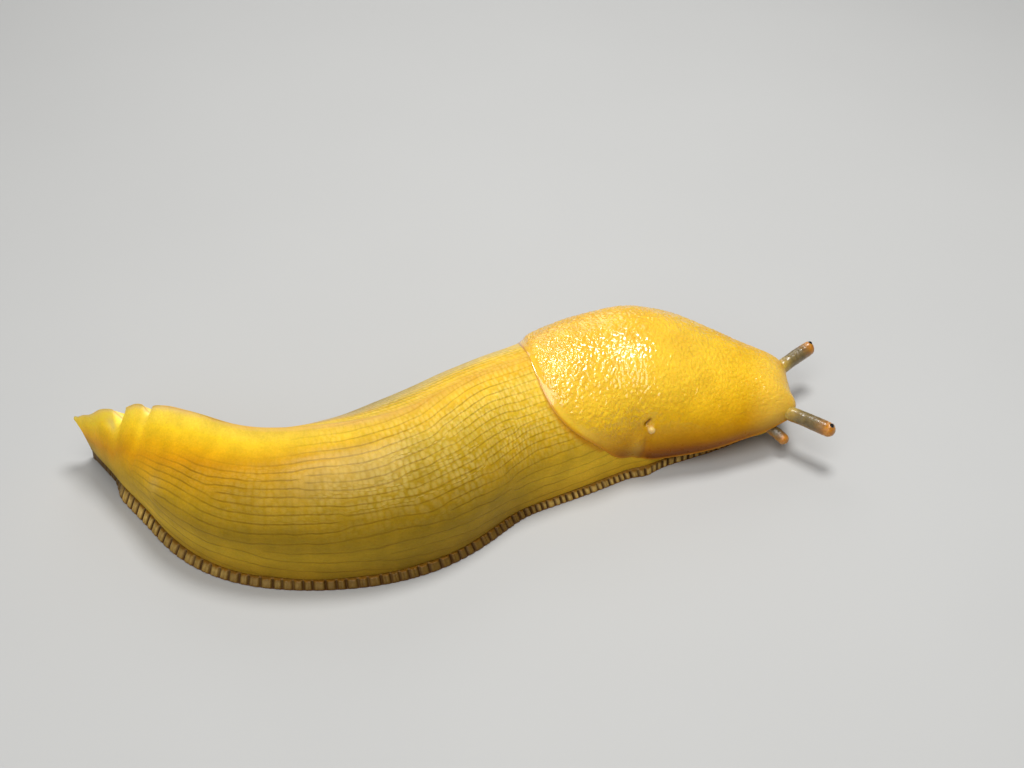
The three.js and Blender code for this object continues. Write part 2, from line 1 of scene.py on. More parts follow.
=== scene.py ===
import bmesh
import bpy
import numpy as np
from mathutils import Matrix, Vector


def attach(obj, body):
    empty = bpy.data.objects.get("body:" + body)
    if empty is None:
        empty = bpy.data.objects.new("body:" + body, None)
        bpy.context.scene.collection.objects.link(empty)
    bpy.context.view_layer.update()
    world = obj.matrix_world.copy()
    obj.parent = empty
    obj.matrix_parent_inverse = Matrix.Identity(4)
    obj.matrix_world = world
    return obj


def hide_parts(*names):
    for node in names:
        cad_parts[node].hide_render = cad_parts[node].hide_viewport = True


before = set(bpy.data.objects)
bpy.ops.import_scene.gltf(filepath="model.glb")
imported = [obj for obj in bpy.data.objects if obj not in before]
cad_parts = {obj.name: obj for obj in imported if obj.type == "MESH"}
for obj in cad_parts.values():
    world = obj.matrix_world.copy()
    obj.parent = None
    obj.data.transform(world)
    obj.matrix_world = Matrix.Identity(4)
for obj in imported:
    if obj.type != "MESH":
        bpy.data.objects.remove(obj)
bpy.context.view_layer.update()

# A banana slug at life size. The tables are in millimetres and the meshes in metres. A length or
# a run is a distance along the body from the tail's tip, and up is the height over the floor.
mm = 0.001
print("slug: the packed frame is loaded")

# The middle line of the body: where it starts, and its heading in degrees at some lengths.
line = {
    "tip": (-67.49, 2.56),
    "bends": [(0, -31), (15, -29), (29, -33), (44, 3), (58, 20), (73, 40), (88, 28), (102, 31),
              (120, -1), (134, -5), (146, -3)],
    "step": 0.25,
    "spare": 20,
}

# Sections: length, height of the back, half width, half width of the foot, lean, keel. A dip is
# a notch of the keel: length, depth, half length, and the dip lean widens it behind and narrows
# it ahead. Lobes: length, how far the crest is raised. The tuck draws the groove in at the tail.
body = {
    "sections": [(0, 11.2, 1.2, 1.0, -12, 2.6), (10, 17.8, 5.4, 5.9, -2, 2.6),
                 (24, 21.4, 9.7, 10.4, 8, 2.5), (41, 23.0, 12.7, 13.5, 9, 2.2),
                 (62, 23.8, 15.6, 16.3, 0, 1.8), (82, 23.4, 14.4, 15.0, 0, 1.5),
                 (103, 22.8, 14.8, 15.8, 1, 1.2), (114, 22.0, 14.9, 16.1, 1, 1.0),
                 (123, 18.0, 12.6, 12.8, 0, 1.0), (133, 13.0, 8.6, 8.2, -2, 1.0),
                 (143, 10.0, 7.0, 6.6, -3, 1.0)],
    "end": 142.4, "round": 7.0, "power": 2.2,
    "tailRound": 1.1, "tailReach": (0.7, 0.9), "tailShorten": (0.5, 0.1), "tailPivot": 4,
    "tailThin": 0.03,
    "overhang": 1.5, "overhangEnd": 9.0, "overhangCrest": (1.15, 0.5, 0.65, 1.0),
    "dips": [(10.1, 2.6, 1.0), (15.9, 1.4, 0.8)], "dipLean": (1.7, 0.5),   # the keel's notches
    "lobes": [(0, 0.3), (1.2, 0.45), (2.7, 0.1), (5.5, 0.55), (8.2, -0.2), (10.1, -0.6),
              (11.5, -0.2), (13.1, 0.2), (14.6, 0.0), (15.9, -0.4), (17.2, -0.05), (19, 0.1),
              (23, 0)],
    "tuck": 0.9, "tuckEnd": (6.5, 11.0),
    "length": 144.2,
}
# The mantle's margin starts on the back, sweeps down and forward, and then follows the lower one.
# A bulge of the hood is a distance out and how far it reaches ahead.
mantle = {
    "sections": [(86, 23.9, 14.8, 15.0, 0.5, 1.4), (103, 23.8, 15.5, 15.4, 1.5, 1.15),
                 (117, 22.6, 16.1, 16.5, 1, 1.0), (129, 17.6, 14.1, 14.6, -1, 1.0),
                 (138.5, 14.2, 10.7, 10.7, -2.5, 1.0), (145.5, 12.8, 9.3, 9.0, -3.5, 1.0)],
    "end": 144.2, "round": 8.0, "power": 2.6,
    "marginStart": 91.6, "marginSweep": 27.5, "marginPower": 1.9, "marginSkew": 0.2,
    "marginTop": 24.6, "marginLobe": (101.5, 4.0, 2.1), "lobeSide": (8, 13),
    "lowerMargin": [(90, 4.4), (109, 4.2), (118.5, 3.1), (128.5, 3.6), (145.5, 7.2)],
    "bulgeFrom": 133.5, "bulgeSpread": 2.8,
    "bulgeRight": (5.4, 2.2), "bulgeLeft": (7.2, 1.6),
}
# The edge scale is how much of its full height and width the foot's edge has at a length.
foot = {
    "thickness": 2.0, "clear": 0.3, "pedalGroove": 1.7, "run": 1.3,
    "end": 138.5, "round": 10.0, "power": 2.1, "rearRound": 1.3,
    "block": 1.75, "blockVariation": 0.35,
    "edgeScale": [(0, 1.0), (14, 1.0), (26, 0.86), (40, 0.72), (72, 0.70), (90, 0.58), (114, 0.56),
                  (128, 0.64), (140, 0.85)],
}
floorLevel = foot["thickness"] + foot["clear"]
# What the cross-sections share: the share of the back's height that a blunt end keeps, the widest
# line's share of it and its least height over the foot, the groove's least way in from the flank
# and its least share of it, the room under a notch and how sharply that bends, the least width.
sectionShape = {
    "endBack": 0.25, "widestShare": 0.36, "widestOver": 0.4, "grooveIn": 0.2, "grooveShare": 0.35,
    "notchRoom": 1.5, "notchBend": 3, "thin": 0.02,
}


# 0 below low, 1 above high, and 3t^2 - 2t^3 between.
def smooth(x, low, high):
    t = np.clip((x - low) / (high - low), 0, 1)
    return t * t * (3 - 2 * t)


# 1 below low, and less by the drop above high.
def fall(x, low, high, drop=1):
    return 1 - drop * smooth(x, low, high)


# A bell of 1 at its middle: exp of minus the squares of the ways off over their spreads.
def bell(off, spread, secondOff=0, secondSpread=1):
    return np.exp(-(off / spread) ** 2 - (secondOff / secondSpread) ** 2)


# Straight lines through a table's rows.
def between(x, rows):
    return np.interp(x, *np.array(rows).T)


# A cubic through a table's rows; its slope at a row is the weighted mean of those beside it.
def curveThrough(x, rows, column):
    table = np.array(rows, float)
    xs, ys = table[:, 0], table[:, column]
    slopes = np.gradient(ys, xs) if len(xs) > 2 else np.full(2, (ys[1] - ys[0]) / (xs[1] - xs[0]))
    x = np.clip(x, xs[0], xs[-1])
    i = np.clip(np.searchsorted(xs, x, side="right") - 1, 0, len(xs) - 2)
    span = xs[i + 1] - xs[i]
    t = (x - xs[i]) / span
    start = (1 + 2 * t) * (1 - t) ** 2 * ys[i] + t * (1 - t) ** 2 * span * slopes[i]
    return start + t * t * (3 - 2 * t) * ys[i + 1] + t * t * (t - 1) * span * slopes[i + 1]


lineAt = np.arange(0, body["length"] + line["spare"], line["step"])
lineHeading = np.radians(curveThrough(lineAt + line["step"] / 2, line["bends"], 1))
lineX = line["tip"][0] + np.concatenate([[0], np.cumsum(np.cos(lineHeading))[:-1]]) * line["step"]
lineY = line["tip"][1] + np.concatenate([[0], np.cumsum(np.sin(lineHeading))[:-1]]) * line["step"]


# The point at a length along the middle line, a distance to its left, a height, and ahead.
def along(at, left, height, ahead=0.0):
    heading = np.radians(curveThrough(at, line["bends"], 1))
    forward = np.stack([np.cos(heading), np.sin(heading)], axis=-1)
    inside = np.clip(at, 0, lineAt[-1])
    ahead = ahead + (at - inside)
    x = np.interp(inside, lineAt, lineX) - left * forward[..., 1] + ahead * forward[..., 0]
    y = np.interp(inside, lineAt, lineY) + left * forward[..., 0] + ahead * forward[..., 1]
    return np.stack(np.broadcast_arrays(x, y, height), axis=-1)


# Run goes on at an even pace over a blunt end: length = end - round + round sin(turn), and the
# section shrinks by (1 - sin(turn)^power)^(1/power).
def bluntEnd(run, form):
    start = form["end"] - form["round"]
    turn = np.clip((run - start) / form["round"], 0, np.pi / 2)
    at = np.where(run > start, start + form["round"] * np.sin(turn), run)
    return at, np.maximum(1 - np.sin(turn) ** form["power"], 0) ** (1 / form["power"])


# The run at which a blunt end closes.
def lastRun(form):
    return form["end"] - form["round"] * (1 - np.pi / 2)


# A cross-section, from the right groove (around -2) over the back (0) to the left one (2).
# Arch: left = side sin^keel, height = widest + (back - widest) cos, cut off softly by a notch.
# Flank: a quarter ellipse from the widest line down to the groove over the foot's edge. Gives
# length, left, height and the way ahead.
def section(form, run, around):
    shape = sectionShape
    at, shrink = bluntEnd(run, form)
    at = np.maximum(at, 0)
    rows = form["sections"]
    back = floorLevel + (curveThrough(at, rows, 1) - floorLevel) * (
            shape["endBack"] + (1 - shape["endBack"]) * shrink)
    side = np.maximum(curveThrough(at, rows, 2) * shrink, shape["thin"])
    tuck = form["tuck"] * fall(at, *form["tuckEnd"]) if "tuck" in form else 0
    edge = curveThrough(at, foot["edgeScale"], 1)
    under = curveThrough(at, rows, 3) * shrink - foot["pedalGroove"] * edge - tuck
    groove = np.maximum(np.minimum(under, side - shape["grooveIn"]), side * shape["grooveShare"])
    lean = np.radians(curveThrough(at, rows, 4))
    keel = curveThrough(at, rows, 5)
    widest = np.maximum(shape["widestShare"] * back, floorLevel + shape["widestOver"])
    arch = np.clip(around, -1, 1) * np.pi / 2
    sine, cosine = np.sin(arch), np.cos(arch)
    dip = np.zeros_like(at)
    for where, deep, wide in form.get("dips", []):
        wide = wide * np.where(at < where, *form["dipLean"])
        dip = dip + deep * bell(at - where, wide)
    back = back + (curveThrough(at, form["lobes"], 1) if "lobes" in form else 0)
    outward = side * np.sign(sine) * np.abs(sine) ** keel
    rise = (back - widest) * cosine
    cut = back - widest - dip + shape["notchRoom"] * np.maximum(1 - dip, 0)
    bend = shape["notchBend"]
    rise = np.where(dip > 0, -np.logaddexp(-bend * rise, -bend * cut) / bend, rise)
    left = outward * np.cos(lean) + rise * np.sin(lean)
    height = widest - outward * np.sin(lean) + rise * np.cos(lean)
    down = np.clip(np.abs(around) - 1, 0, 1) * np.pi / 2
    sign = np.sign(around)
    low = np.abs(around) > 1
    left = np.where(low, sign * groove + (left - sign * groove) * np.cos(down), left)
    grooveLevel = foot["clear"] + foot["thickness"] * edge
    height = np.where(low, height - (height - grooveLevel) * np.sin(down), height)
    if "overhang" not in form:
        return at, left, height, 0.0
    most, drop, start, full = form["overhangCrest"]
    overhang = form["overhang"] * np.maximum(1 - at / form["overhangEnd"], 0)
    overhang = overhang * (most - drop * smooth(cosine, start, full))
    return at, left, height, -overhang * np.where(low, 0, cosine) ** 2


# The bare body. Behind the tip the section narrows to a rounded upright edge, which reaches
# furthest at its crest and comes down there.
def bodyPoint(run, around):
    turn = np.clip(-run / body["tailRound"], 0, np.pi / 2)
    at, left, height, ahead = section(body, np.maximum(run, 0), around)
    middle = 0.5 * (floorLevel + curveThrough(0, body["sections"], 1))
    shorten = np.where(height > middle, *body["tailShorten"]) * (1 - np.cos(turn))
    least, more = body["tailReach"]
    reach = body["tailRound"] * (least + more * np.cos(np.clip(around, -1, 1) * np.pi / 2) ** 2)
    height = middle + (height - middle) * (1 - shorten)
    centre = np.radians(curveThrough(0, body["sections"], 4)) * (height - body["tailPivot"])
    left = np.where(turn > 0, centre + (left - centre) * np.maximum(np.cos(turn), body["tailThin"]), left)
    return along(at, left, height, ahead - reach * np.sin(turn))


# The mantle's outer face, with a bulge of the hood ahead over each upper tentacle.
def mantlePoint(run, around):
    at, left, height, ahead = section(mantle, run, around)
    share = np.clip((at - mantle["bulgeFrom"]) / (mantle["end"] - mantle["bulgeFrom"]), 0, 1)
    out = np.where(left > 0, mantle["bulgeLeft"][0], mantle["bulgeRight"][0])
    reach = np.where(left > 0, mantle["bulgeLeft"][1], mantle["bulgeRight"][1])
    bump = reach * bell(np.abs(left) - out, mantle["bulgeSpread"])
    return along(at, left, height, ahead + share * bump)


# Height over the mantle's margin: it sweeps down and forward from the back, then runs low,
# and on the right it hangs a little lower behind the breathing pore.
def aboveMargin(run, around):
    at, left, height, _ = section(mantle, run, around)
    lobeAt, lobeSpread, lobeDrop = mantle["marginLobe"]
    lobe = lobeDrop * bell(at - lobeAt, lobeSpread) * smooth(-left, *mantle["lobeSide"])
    at = at - mantle["marginSkew"] * left
    sweep = np.maximum(at - mantle["marginStart"], 0) / mantle["marginSweep"]
    swept = mantle["marginTop"] * (1 - sweep ** (1 / mantle["marginPower"]))
    return height + lobe - np.maximum(curveThrough(at, mantle["lowerMargin"], 1), swept)


# Vectors of unit length.
def unit(vectors):
    return vectors / np.maximum(np.linalg.norm(vectors, axis=-1, keepdims=True), 1e-9)


# Unit normals of a grid from its two central differences.
def normals(points):
    return unit(np.cross(np.gradient(points, axis=0), np.gradient(points, axis=1)))


# How far a row of points has come at each, from its first.
def travelledAlong(points):
    return np.concatenate([[0], np.cumsum(np.linalg.norm(np.diff(points, axis=0), axis=1))])


# Columns of points in even steps from one edge to another, without the edges.
def bridge(start, end, columns):
    return start + (end - start) * np.linspace(0, 1, columns + 2)[None, 1:-1, None]


# A repeatable whole number for each cell of a lattice.
def lattice(cell, seed):
    h = (cell[..., 0] * 73856093) ^ (cell[..., 1] * 19349663) ^ (cell[..., 2] * 83492791)
    h = (h ^ (seed * 2654435)) & 0x7FFFFFFF
    h = ((h ^ (h >> 15)) * 2246822519) & 0x7FFFFFFF
    h = ((h ^ (h >> 13)) * 3266489917) & 0x7FFFFFFF
    return h ^ (h >> 16)


# Smooth noise of about -1 to 1: the slopes at a lattice's corners, blended by
# 6t^5 - 15t^4 + 10t^3.
def noise(points, size, seed):
    p = points / size
    cell = np.floor(p).astype(np.int64)
    f = p - cell
    t = f ** 3 * (f * (f * 6 - 15) + 10)
    total = np.zeros(p.shape[:-1])
    for corner in np.ndindex(2, 2, 2):
        c = np.array(corner)
        h = lattice(cell + c, seed)
        slope = np.stack([h & 1023, (h >> 10) & 1023, (h >> 20) & 1023], axis=-1) / 511.5 - 1
        weight = np.prod(np.where(c == 1, t, 1 - t), axis=-1)
        total += weight * np.sum(slope * (f - c), axis=-1)
    return total * 1.4


# Noise of a strength, in waves of about a size.
def waves(points, strength, size, seed):
    return strength * noise(points, size, seed)


# The quads of a grid of points, with the last column joined to the first.
def gridFaces(rows, columns):
    i = np.arange(rows - 1)[:, None]
    j = np.arange(columns)[None, :]
    a = i * columns + j
    b = i * columns + (j + 1) % columns
    return np.stack([a, b, b + columns, a + columns], axis=-1).reshape(-1, 4)


# Quads that close a flattened ring: each point is joined to its mirror image.
def zipFaces(start, columns):
    j = np.arange(columns // 2 - 1)
    low, high = start + j, start + columns - 1 - j
    return np.stack([low, low + 1, high - 1, high], axis=-1)


# A smooth mesh in metres, closed and turned outwards, with one attribute for each mask.
def meshPiece(name, points, faces, masks, material, nodes):
    mesh = bpy.data.meshes.new(name)
    points = points.reshape(-1, 3)
    mesh.vertices.add(len(points))
    mesh.vertices.foreach_set("co", (points * mm).ravel())
    mesh.loops.add(faces.size)
    mesh.loops.foreach_set("vertex_index", faces.astype(np.int32).ravel())
    mesh.polygons.add(len(faces))
    mesh.polygons.foreach_set("loop_start", np.arange(0, faces.size, 4, dtype=np.int32))
    for mask, values in masks.items():
        attribute = mesh.attributes.new(mask, "FLOAT", "POINT")
        attribute.data.foreach_set("value", np.asarray(values, np.float32).ravel())
    mesh.update(calc_edges=True)
    tidy = bmesh.new()
    tidy.from_mesh(mesh)
    bmesh.ops.remove_doubles(tidy, verts=tidy.verts, dist=0.001 * mm)
    bmesh.ops.recalc_face_normals(tidy, faces=tidy.faces)
    tidy.to_mesh(mesh)
    tidy.free()
    mesh.validate()
    mesh.polygons.foreach_set("use_smooth", np.ones(len(mesh.polygons), bool))
    mesh.materials.append(material)
    piece = bpy.data.objects.new(name, mesh)
    bpy.context.scene.collection.objects.link(piece)
    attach(piece, "root")
    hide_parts(*nodes)
    print("slug:", name, len(mesh.vertices), "points,", len(mesh.polygons), "faces")


# A material's nodes, added one by one with their settings and joined by name.
class Nodes:

    def __init__(self, name):
        self.material = bpy.data.materials.new(name)
        self.material.use_nodes = True
        self.tree = self.material.node_tree
        self.tree.nodes.clear()
        self.output = self.add("ShaderNodeOutputMaterial")

    def add(self, kind, inputs=None, **settings):
        node = self.tree.nodes.new(kind)
        for key, value in settings.items():
            setattr(node, key, value)
        for key, value in (inputs or {}).items():
            if isinstance(value, bpy.types.NodeSocket):
                self.tree.links.new(value, node.inputs[key])
            else:
                node.inputs[key].default_value = value
        return node

    def mask(self, name):
        return self.add("ShaderNodeAttribute", attribute_name=name).outputs["Fac"]

    def math(self, operation, a, b=0.0, clamp=False):
        inputs = {0: a, 1: b}
        return self.add("ShaderNodeMath", inputs, operation=operation, use_clamp=clamp).outputs[0]

    def ramp(self, value, stops):
        node = self.add("ShaderNodeValToRGB", {"Fac": value})
        elements = node.color_ramp.elements
        for stop in stops[2:]:
            elements.new(stop[0])
        for element, (place, colour) in zip(elements, sorted(stops)):
            element.position = place
            element.color = (*colour, 1)
        return node.outputs["Color"]

    # A ramp of greys.
    def fade(self, value, stops):
        return self.ramp(value, [(place, (level,) * 3) for place, level in stops])

    def mix(self, share, a, b, kind="MIX"):
        node = self.add("ShaderNodeMix", data_type="RGBA", blend_type=kind)
        for socket, value in zip((node.inputs[0], node.inputs[6], node.inputs[7]), (share, a, b)):
            if isinstance(value, bpy.types.NodeSocket):
                self.tree.links.new(value, socket)
            else:
                socket.default_value = value if socket.type != "RGBA" else (*value, 1)
        return node.outputs[2]

    # Tints laid over a colour: one by a value times a share, or each by the mask of its name.
    def lay(self, colour, value, share, tint):
        return self.mix(self.math("MULTIPLY", value, share, True), colour, tint)

    def layers(self, colour, tints):
        for name, tint in tints.items():
            colour = self.mix(self.mask(name), colour, tint)
        return colour

    # A colour multiplied by patchy tints, each with its share, its grain and its two stops.
    def mottled(self, colour, mottles):
        for share, grain, stops in mottles:
            colour = self.mix(share, colour, self.ramp(self.grain(*grain), stops), "MULTIPLY")
        return colour

    # Noise on Object coordinates, with features of about the size given in millimetres.
    def grain(self, size, detail=2.0, roughness=0.5):
        place = self.add("ShaderNodeTexCoord").outputs["Object"]
        inputs = {"Vector": place, "Scale": 1 / (size * mm), "Detail": detail, "Roughness": roughness}
        return self.add("ShaderNodeTexNoise", inputs).outputs["Fac"]

    # Distance to the nearest of points scattered one to each unit square of two masks.
    def scattered(self, u, v, randomness):
        place = self.add("ShaderNodeCombineXYZ", {"X": self.mask(u), "Y": self.mask(v)}).outputs[0]
        inputs = {"Vector": place, "Scale": 1.0, "Randomness": randomness}
        return self.add("ShaderNodeTexVoronoi", inputs, voronoi_dimensions="2D").outputs["Distance"]

    # Bump whose full height is the depth in millimetres.
    def bump(self, height, depth, normal=None):
        inputs = {"Height": height, "Distance": depth * mm, "Strength": 1.0}
        if normal:
            inputs["Normal"] = normal
        return self.add("ShaderNodeBump", inputs).outputs["Normal"]

    def finish(self, inputs):
        shader = self.add("ShaderNodeBsdfPrincipled", inputs)
        self.tree.links.new(shader.outputs[0], self.output.inputs["Surface"])
        return self.material


# Skin of the tail, torso, neck and head, as one closed grid from the tail's edge to the snout.
# Waves, swells and patches are a noise's strength, size and seed. A branch is a length, a rise and
# the way it turns, and a hollow or a painted highlight spot a length, a rise, their spreads and a
# strength. The other pairs are where something starts and is full, and a third number is how much it
# takes off.
skin = {
    "rowSteps": [(round(-body["tailRound"] * np.pi / 2, 3), 0.2), (0.0, 0.285), (99.0, 0.62),
                 (132.0, 0.33), (143.4, 0.13)],
    "archColumns": 152, "flankColumns": 26, "bellyColumns": 6,
    "bandAt": [(0, 0.50), (13, 0.55), (20, 0.58), (31, 0.70), (47, 0.79), (63, 0.85), (84, 0.89),
               (110, 0.92)],
    "bandTone": 0.7, "plainKeel": (0.62, 0.80), "keelEnds": (40, 60),
    "pitches": [(0.0, 2.2), (0.22, 2.2), (0.36, 1.75), (0.50, 1.25), (1.0, 1.3)], "halfArc": 27.0,
    "longWaves": (0.3, 11.0, 3), "longStretch": (1, 1, 2.2), "longFrom": (0.02, 0.2),
    "shortWaves": (0.10, 2.4, 4),
    "branches": [(24, 0.34, 1), (35, 0.55, 1), (41, 0.24, 1), (47, 0.68, 1), (52, 0.44, -1),
                 (57, 0.16, 1), (61, 0.58, 1), (65, 0.34, 1), (69, 0.74, 1), (73, 0.48, 1),
                 (78, 0.25, 1), (83, 0.62, -1)],
    "branchTall": 14, "branchFade": 0.8, "sideShift": 7.3,
    "lineDepth": 0.07, "lineWidth": 0.28, "lineFrom": (10, 28), "lineCrest": (0.85, 1.0, 0.5),
    "lineFront": (80, 96, 0.35), "lineShow": 0.85, "linePatches": (0.45, 6.0, 8),
    "beadLength": 0.85, "beadUp": (0.22, 0.62), "beadFrom": (16, 45), "beadFull": (40, 76),
    "beadLeast": 0.35, "beadShow": 0.75, "beadPatches": (0.6, 5.0, 9),
    "swells": (0.16, 9.0, 5), "swellsFrom": (3, 12),
    "hollows": [(7.6, 0.82, 1.2, 0.06, -0.22), (19.0, 0.60, 8.0, 0.13, -0.35),
                (26.0, 0.38, 5.0, 0.12, 0.20)],
    # Painted light and shade: how much darker or brighter the skin is painted along its length, low on
    # the flank, on the flank and on the back.
    "lowShade": [(0, 1.2), (22, 1.7), (42, 1.05), (62, 0.86), (74, 1.1), (84, 1.4), (97, 2.2)],
    "flankShade": [(0, 1.0), (22, 1.12), (38, 0.64), (64, 0.59), (84, 1.12), (97, 1.40)],
    "backShade": [(0, 1.05), (22, 0.95), (42, 0.82), (64, 0.79), (84, 1.05)],
    "flankTones": (0.12, 0.32), "backTones": (0.50, 0.72),
    "paintedHighlightSpots": [(8.2, 0.84, 1.1, 0.06, 0.6), (24, 0.42, 1.6, 0.06, 0.2)],
    "paintedCrestHighlights": [((0.965, 1.0), (55, 75), 0.7), ((0.94, 0.985), (18, 30), 0.6)],
    # Painted shadow low on the flank at the tail's end.
    "tailShadowLow": ((0.10, 0.24), (8, 12), 0.8),
    # The painted shade under the mantle's margin is an offset, a spread and a strength.
    "wetFrom": (5, 30), "wetCrest": (0.78, 0.95, 0.75), "shadeUnderMargin": (-0.2, 0.9, 0.8),
}


# Rows from each start with its own spacing, up to the next start.
def stepped(steps, end):
    ends = [start for start, gap in steps[1:]] + [end]
    least = 0.3                                 # the share of a spacing that the last gap keeps
    parts = [np.arange(a, b - gap * least, gap) for (a, gap), b in zip(steps, ends)]
    return np.concatenate(parts + [[end]])


# How many furrow lines lie below a place, and their spacing, from its rise: 0 groove, 1 crest.
def lineCount(rise):
    table = np.linspace(0, 1, 200)
    pitch = between(table, skin["pitches"])
    total = np.concatenate([[0], np.cumsum(skin["halfArc"] / pitch[:-1] / (len(table) - 1))])
    return np.interp(rise, table, total), np.interp(rise, table, pitch)


bodyRuns = stepped(skin["rowSteps"], lastRun(body))
arch = np.linspace(-1, 1, skin["archColumns"])
flank = np.linspace(1, 2, skin["flankColumns"])[1:]
bodyAround = np.concatenate([-flank[::-1], arch, flank])
bodyRun, bodyTurn = np.meshgrid(bodyRuns, bodyAround, indexing="ij")
base = bodyPoint(bodyRun, bodyTurn)
rightSide = bodyTurn < 0

# Rise: how far up the surface a place is between its side's groove (0) and the crest (1).
steps = np.linalg.norm(np.diff(base, axis=1), axis=-1)
arc = np.concatenate([np.zeros((len(bodyRuns), 1)), np.cumsum(steps, axis=1)], axis=1)
crestColumn = len(flank) + skin["archColumns"] // 2
crestArc = arc[:, crestColumn:crestColumn + 1]
wholeArc = arc[:, -1:]
bodyRise = np.where(arc <= crestArc, arc / crestArc, (wholeArc - arc) / (wholeArc - crestArc))
bodyRise = np.clip(bodyRise, 0, 1)

# Tone: 0 at the groove, 0.7 at the orange band under the keel and 1 at the crest.
band = between(bodyRun, skin["bandAt"])
bandTone = skin["bandTone"]
tone = np.where(bodyRise < band, bandTone * bodyRise / band,
                bandTone + (1 - bandTone) * (bodyRise - band) / (1 - band))


# A soft spot on the skin, at a length and a rise.
def spotAt(length, rise, lengthSpread, riseSpread):
    return bell(bodyRun - length, lengthSpread, bodyRise - rise, riseSpread)


# Furrow lines run lengthwise, a little wavy, and where the count changes by one they branch.
lines, pitch = lineCount(bodyRise)
stretched = base * skin["longStretch"]
lines = lines + waves(stretched, *skin["longWaves"]) * smooth(bodyRise, *skin["longFrom"])
lines = lines + waves(base, *skin["shortWaves"])
branchShow = np.ones_like(bodyRise)
for branchAt, branchRise, sign in skin["branches"]:
    for mirrored in (False, True):
        runOff = bodyRun - (branchAt + skin["sideShift"] * mirrored)
        riseOff = bodyRise - branchRise
        turn = np.arctan2(riseOff * skin["branchTall"], runOff) / (2 * np.pi)
        lines = lines + sign * np.where(rightSide != mirrored, turn, 0)
        near = bell(np.hypot(runOff, riseOff * skin["halfArc"]), skin["branchFade"])
        branchShow = branchShow * (1 - near * (rightSide != mirrored))
localPitch = pitch * wholeArc / (2 * skin["halfArc"])
toLine = np.abs(lines - np.floor(lines) - 0.5) * localPitch
plainKeel = smooth(tone, *skin["plainKeel"]) * fall(bodyRun, *skin["keelEnds"])
lineFade = smooth(bodyRun, *skin["lineFrom"]) * (1 - plainKeel) * branchShow
lineFade = lineFade * fall(bodyRise, *skin["lineCrest"])
lineFade = lineFade * (skin["lineShow"] + waves(base, *skin["linePatches"]))
lineFade = np.clip(lineFade * fall(bodyRun, *skin["lineFront"]), 0, 1)
furrow = bell(toLine, skin["lineWidth"]) * lineFade
lineTurn = 2 * np.pi * (lines - 0.5)

# Beads in rows between the lines, strongest high on the flank and toward the mantle.
# Their pale tops are partly the tubercles' own colour and partly painted glints.
beadZone = smooth(bodyRise, *skin["beadUp"]) * (1 - plainKeel) * smooth(bodyRun, *skin["beadFrom"])
beadZone = beadZone * (skin["beadLeast"] + (1 - skin["beadLeast"]) * smooth(bodyRun, *skin["beadFull"]))
beadZone = beadZone * np.clip(skin["beadShow"] + waves(base, *skin["beadPatches"]), 0, 1)

skinHeight = -skin["lineDepth"] * furrow
skinHeight = skinHeight + waves(base, *skin["swells"]) * smooth(bodyRun, *skin["swellsFrom"])
for *place, strength in skin["hollows"]:
    skinHeight = skinHeight + strength * spotAt(*place) * rightSide

# The mouth at the front of the snout: a slit and a cleft between soft lips. Each has a height
# (over the slit for the upper lip), its half sizes across and up, and how deep or proud it is.
snout = {
    "from": 139.6, "full": 1.5,
    "slit": {"up": 3.9, "wide": 1.8, "tall": 0.35, "deep": 0.9},
    "cleft": {"wide": 0.3, "start": -0.2, "full": 0.3, "deep": 0.6, "shade": 0.8},
    "lips": {"up": 3.0, "out": 1.5, "wide": 0.9, "tall": 1.1, "proud": 0.7},
    "upperLip": {"up": 1.0, "wide": 2.0, "tall": 0.6, "proud": 0.5},
}
slit, cleft, lips, upperLip = (snout[part] for part in ("slit", "cleft", "lips", "upperLip"))
headHeading = np.radians(curveThrough(body["end"], line["bends"], 1))
headWay = np.array([np.cos(headHeading), np.sin(headHeading), 0])
snoutTip = along(np.array(body["end"]), 0.0, 0.0)
across = (base[..., 1] - snoutTip[1]) * headWay[0] - (base[..., 0] - snoutTip[0]) * headWay[1]
overSlit = base[..., 2] - slit["up"]
overLips = base[..., 2] - lips["up"]
slitShape = np.exp(-(overSlit / slit["tall"]) ** 2 - (np.abs(across) / slit["wide"]) ** 4)
cleftShape = bell(across, cleft["wide"]) * smooth(-overSlit, cleft["start"], cleft["full"])
lipShape = bell(np.abs(across) - lips["out"], lips["wide"], overLips, lips["tall"])
upperShape = bell(across, upperLip["wide"], overSlit - upperLip["up"], upperLip["tall"])
push = lips["proud"] * lipShape + upperLip["proud"] * upperShape
push = push - slit["deep"] * slitShape - cleft["deep"] * cleftShape
snoutFront = smooth(bodyRun, snout["from"], body["end"] + snout["full"])
mouthShade = np.clip(slitShape + cleft["shade"] * cleftShape, 0, 1) * snoutFront

skinPoints = base + normals(base) * skinHeight[..., None] + headWay * (push * snoutFront)[..., None]
print("slug: skin surface worked out", skinPoints.shape)

# Under the body each ring is closed by a flat belly inside the foot; the end rings are shut.
belly = bridge(skinPoints[:, -1:], skinPoints[:, :1], skin["bellyColumns"])
belly[[0, -1]] = skinPoints[[0, -1], :1]
skinRing = np.concatenate([skinPoints, belly], axis=1)


# A mask over the back, carried on over the belly as the value at the groove.
def ringMask(mask):
    return np.concatenate([mask, np.repeat(mask[:, -1:], skin["bellyColumns"], axis=1)], axis=1)


# Faces of a closed tube of rings, whose flattened end rings are joined right to left.
def ringFaces(rows, columns, joined):
    ends = [zipFaces(row * columns, joined) for row in (0, rows - 1)]
    return np.concatenate([gridFaces(rows, columns)] + ends)
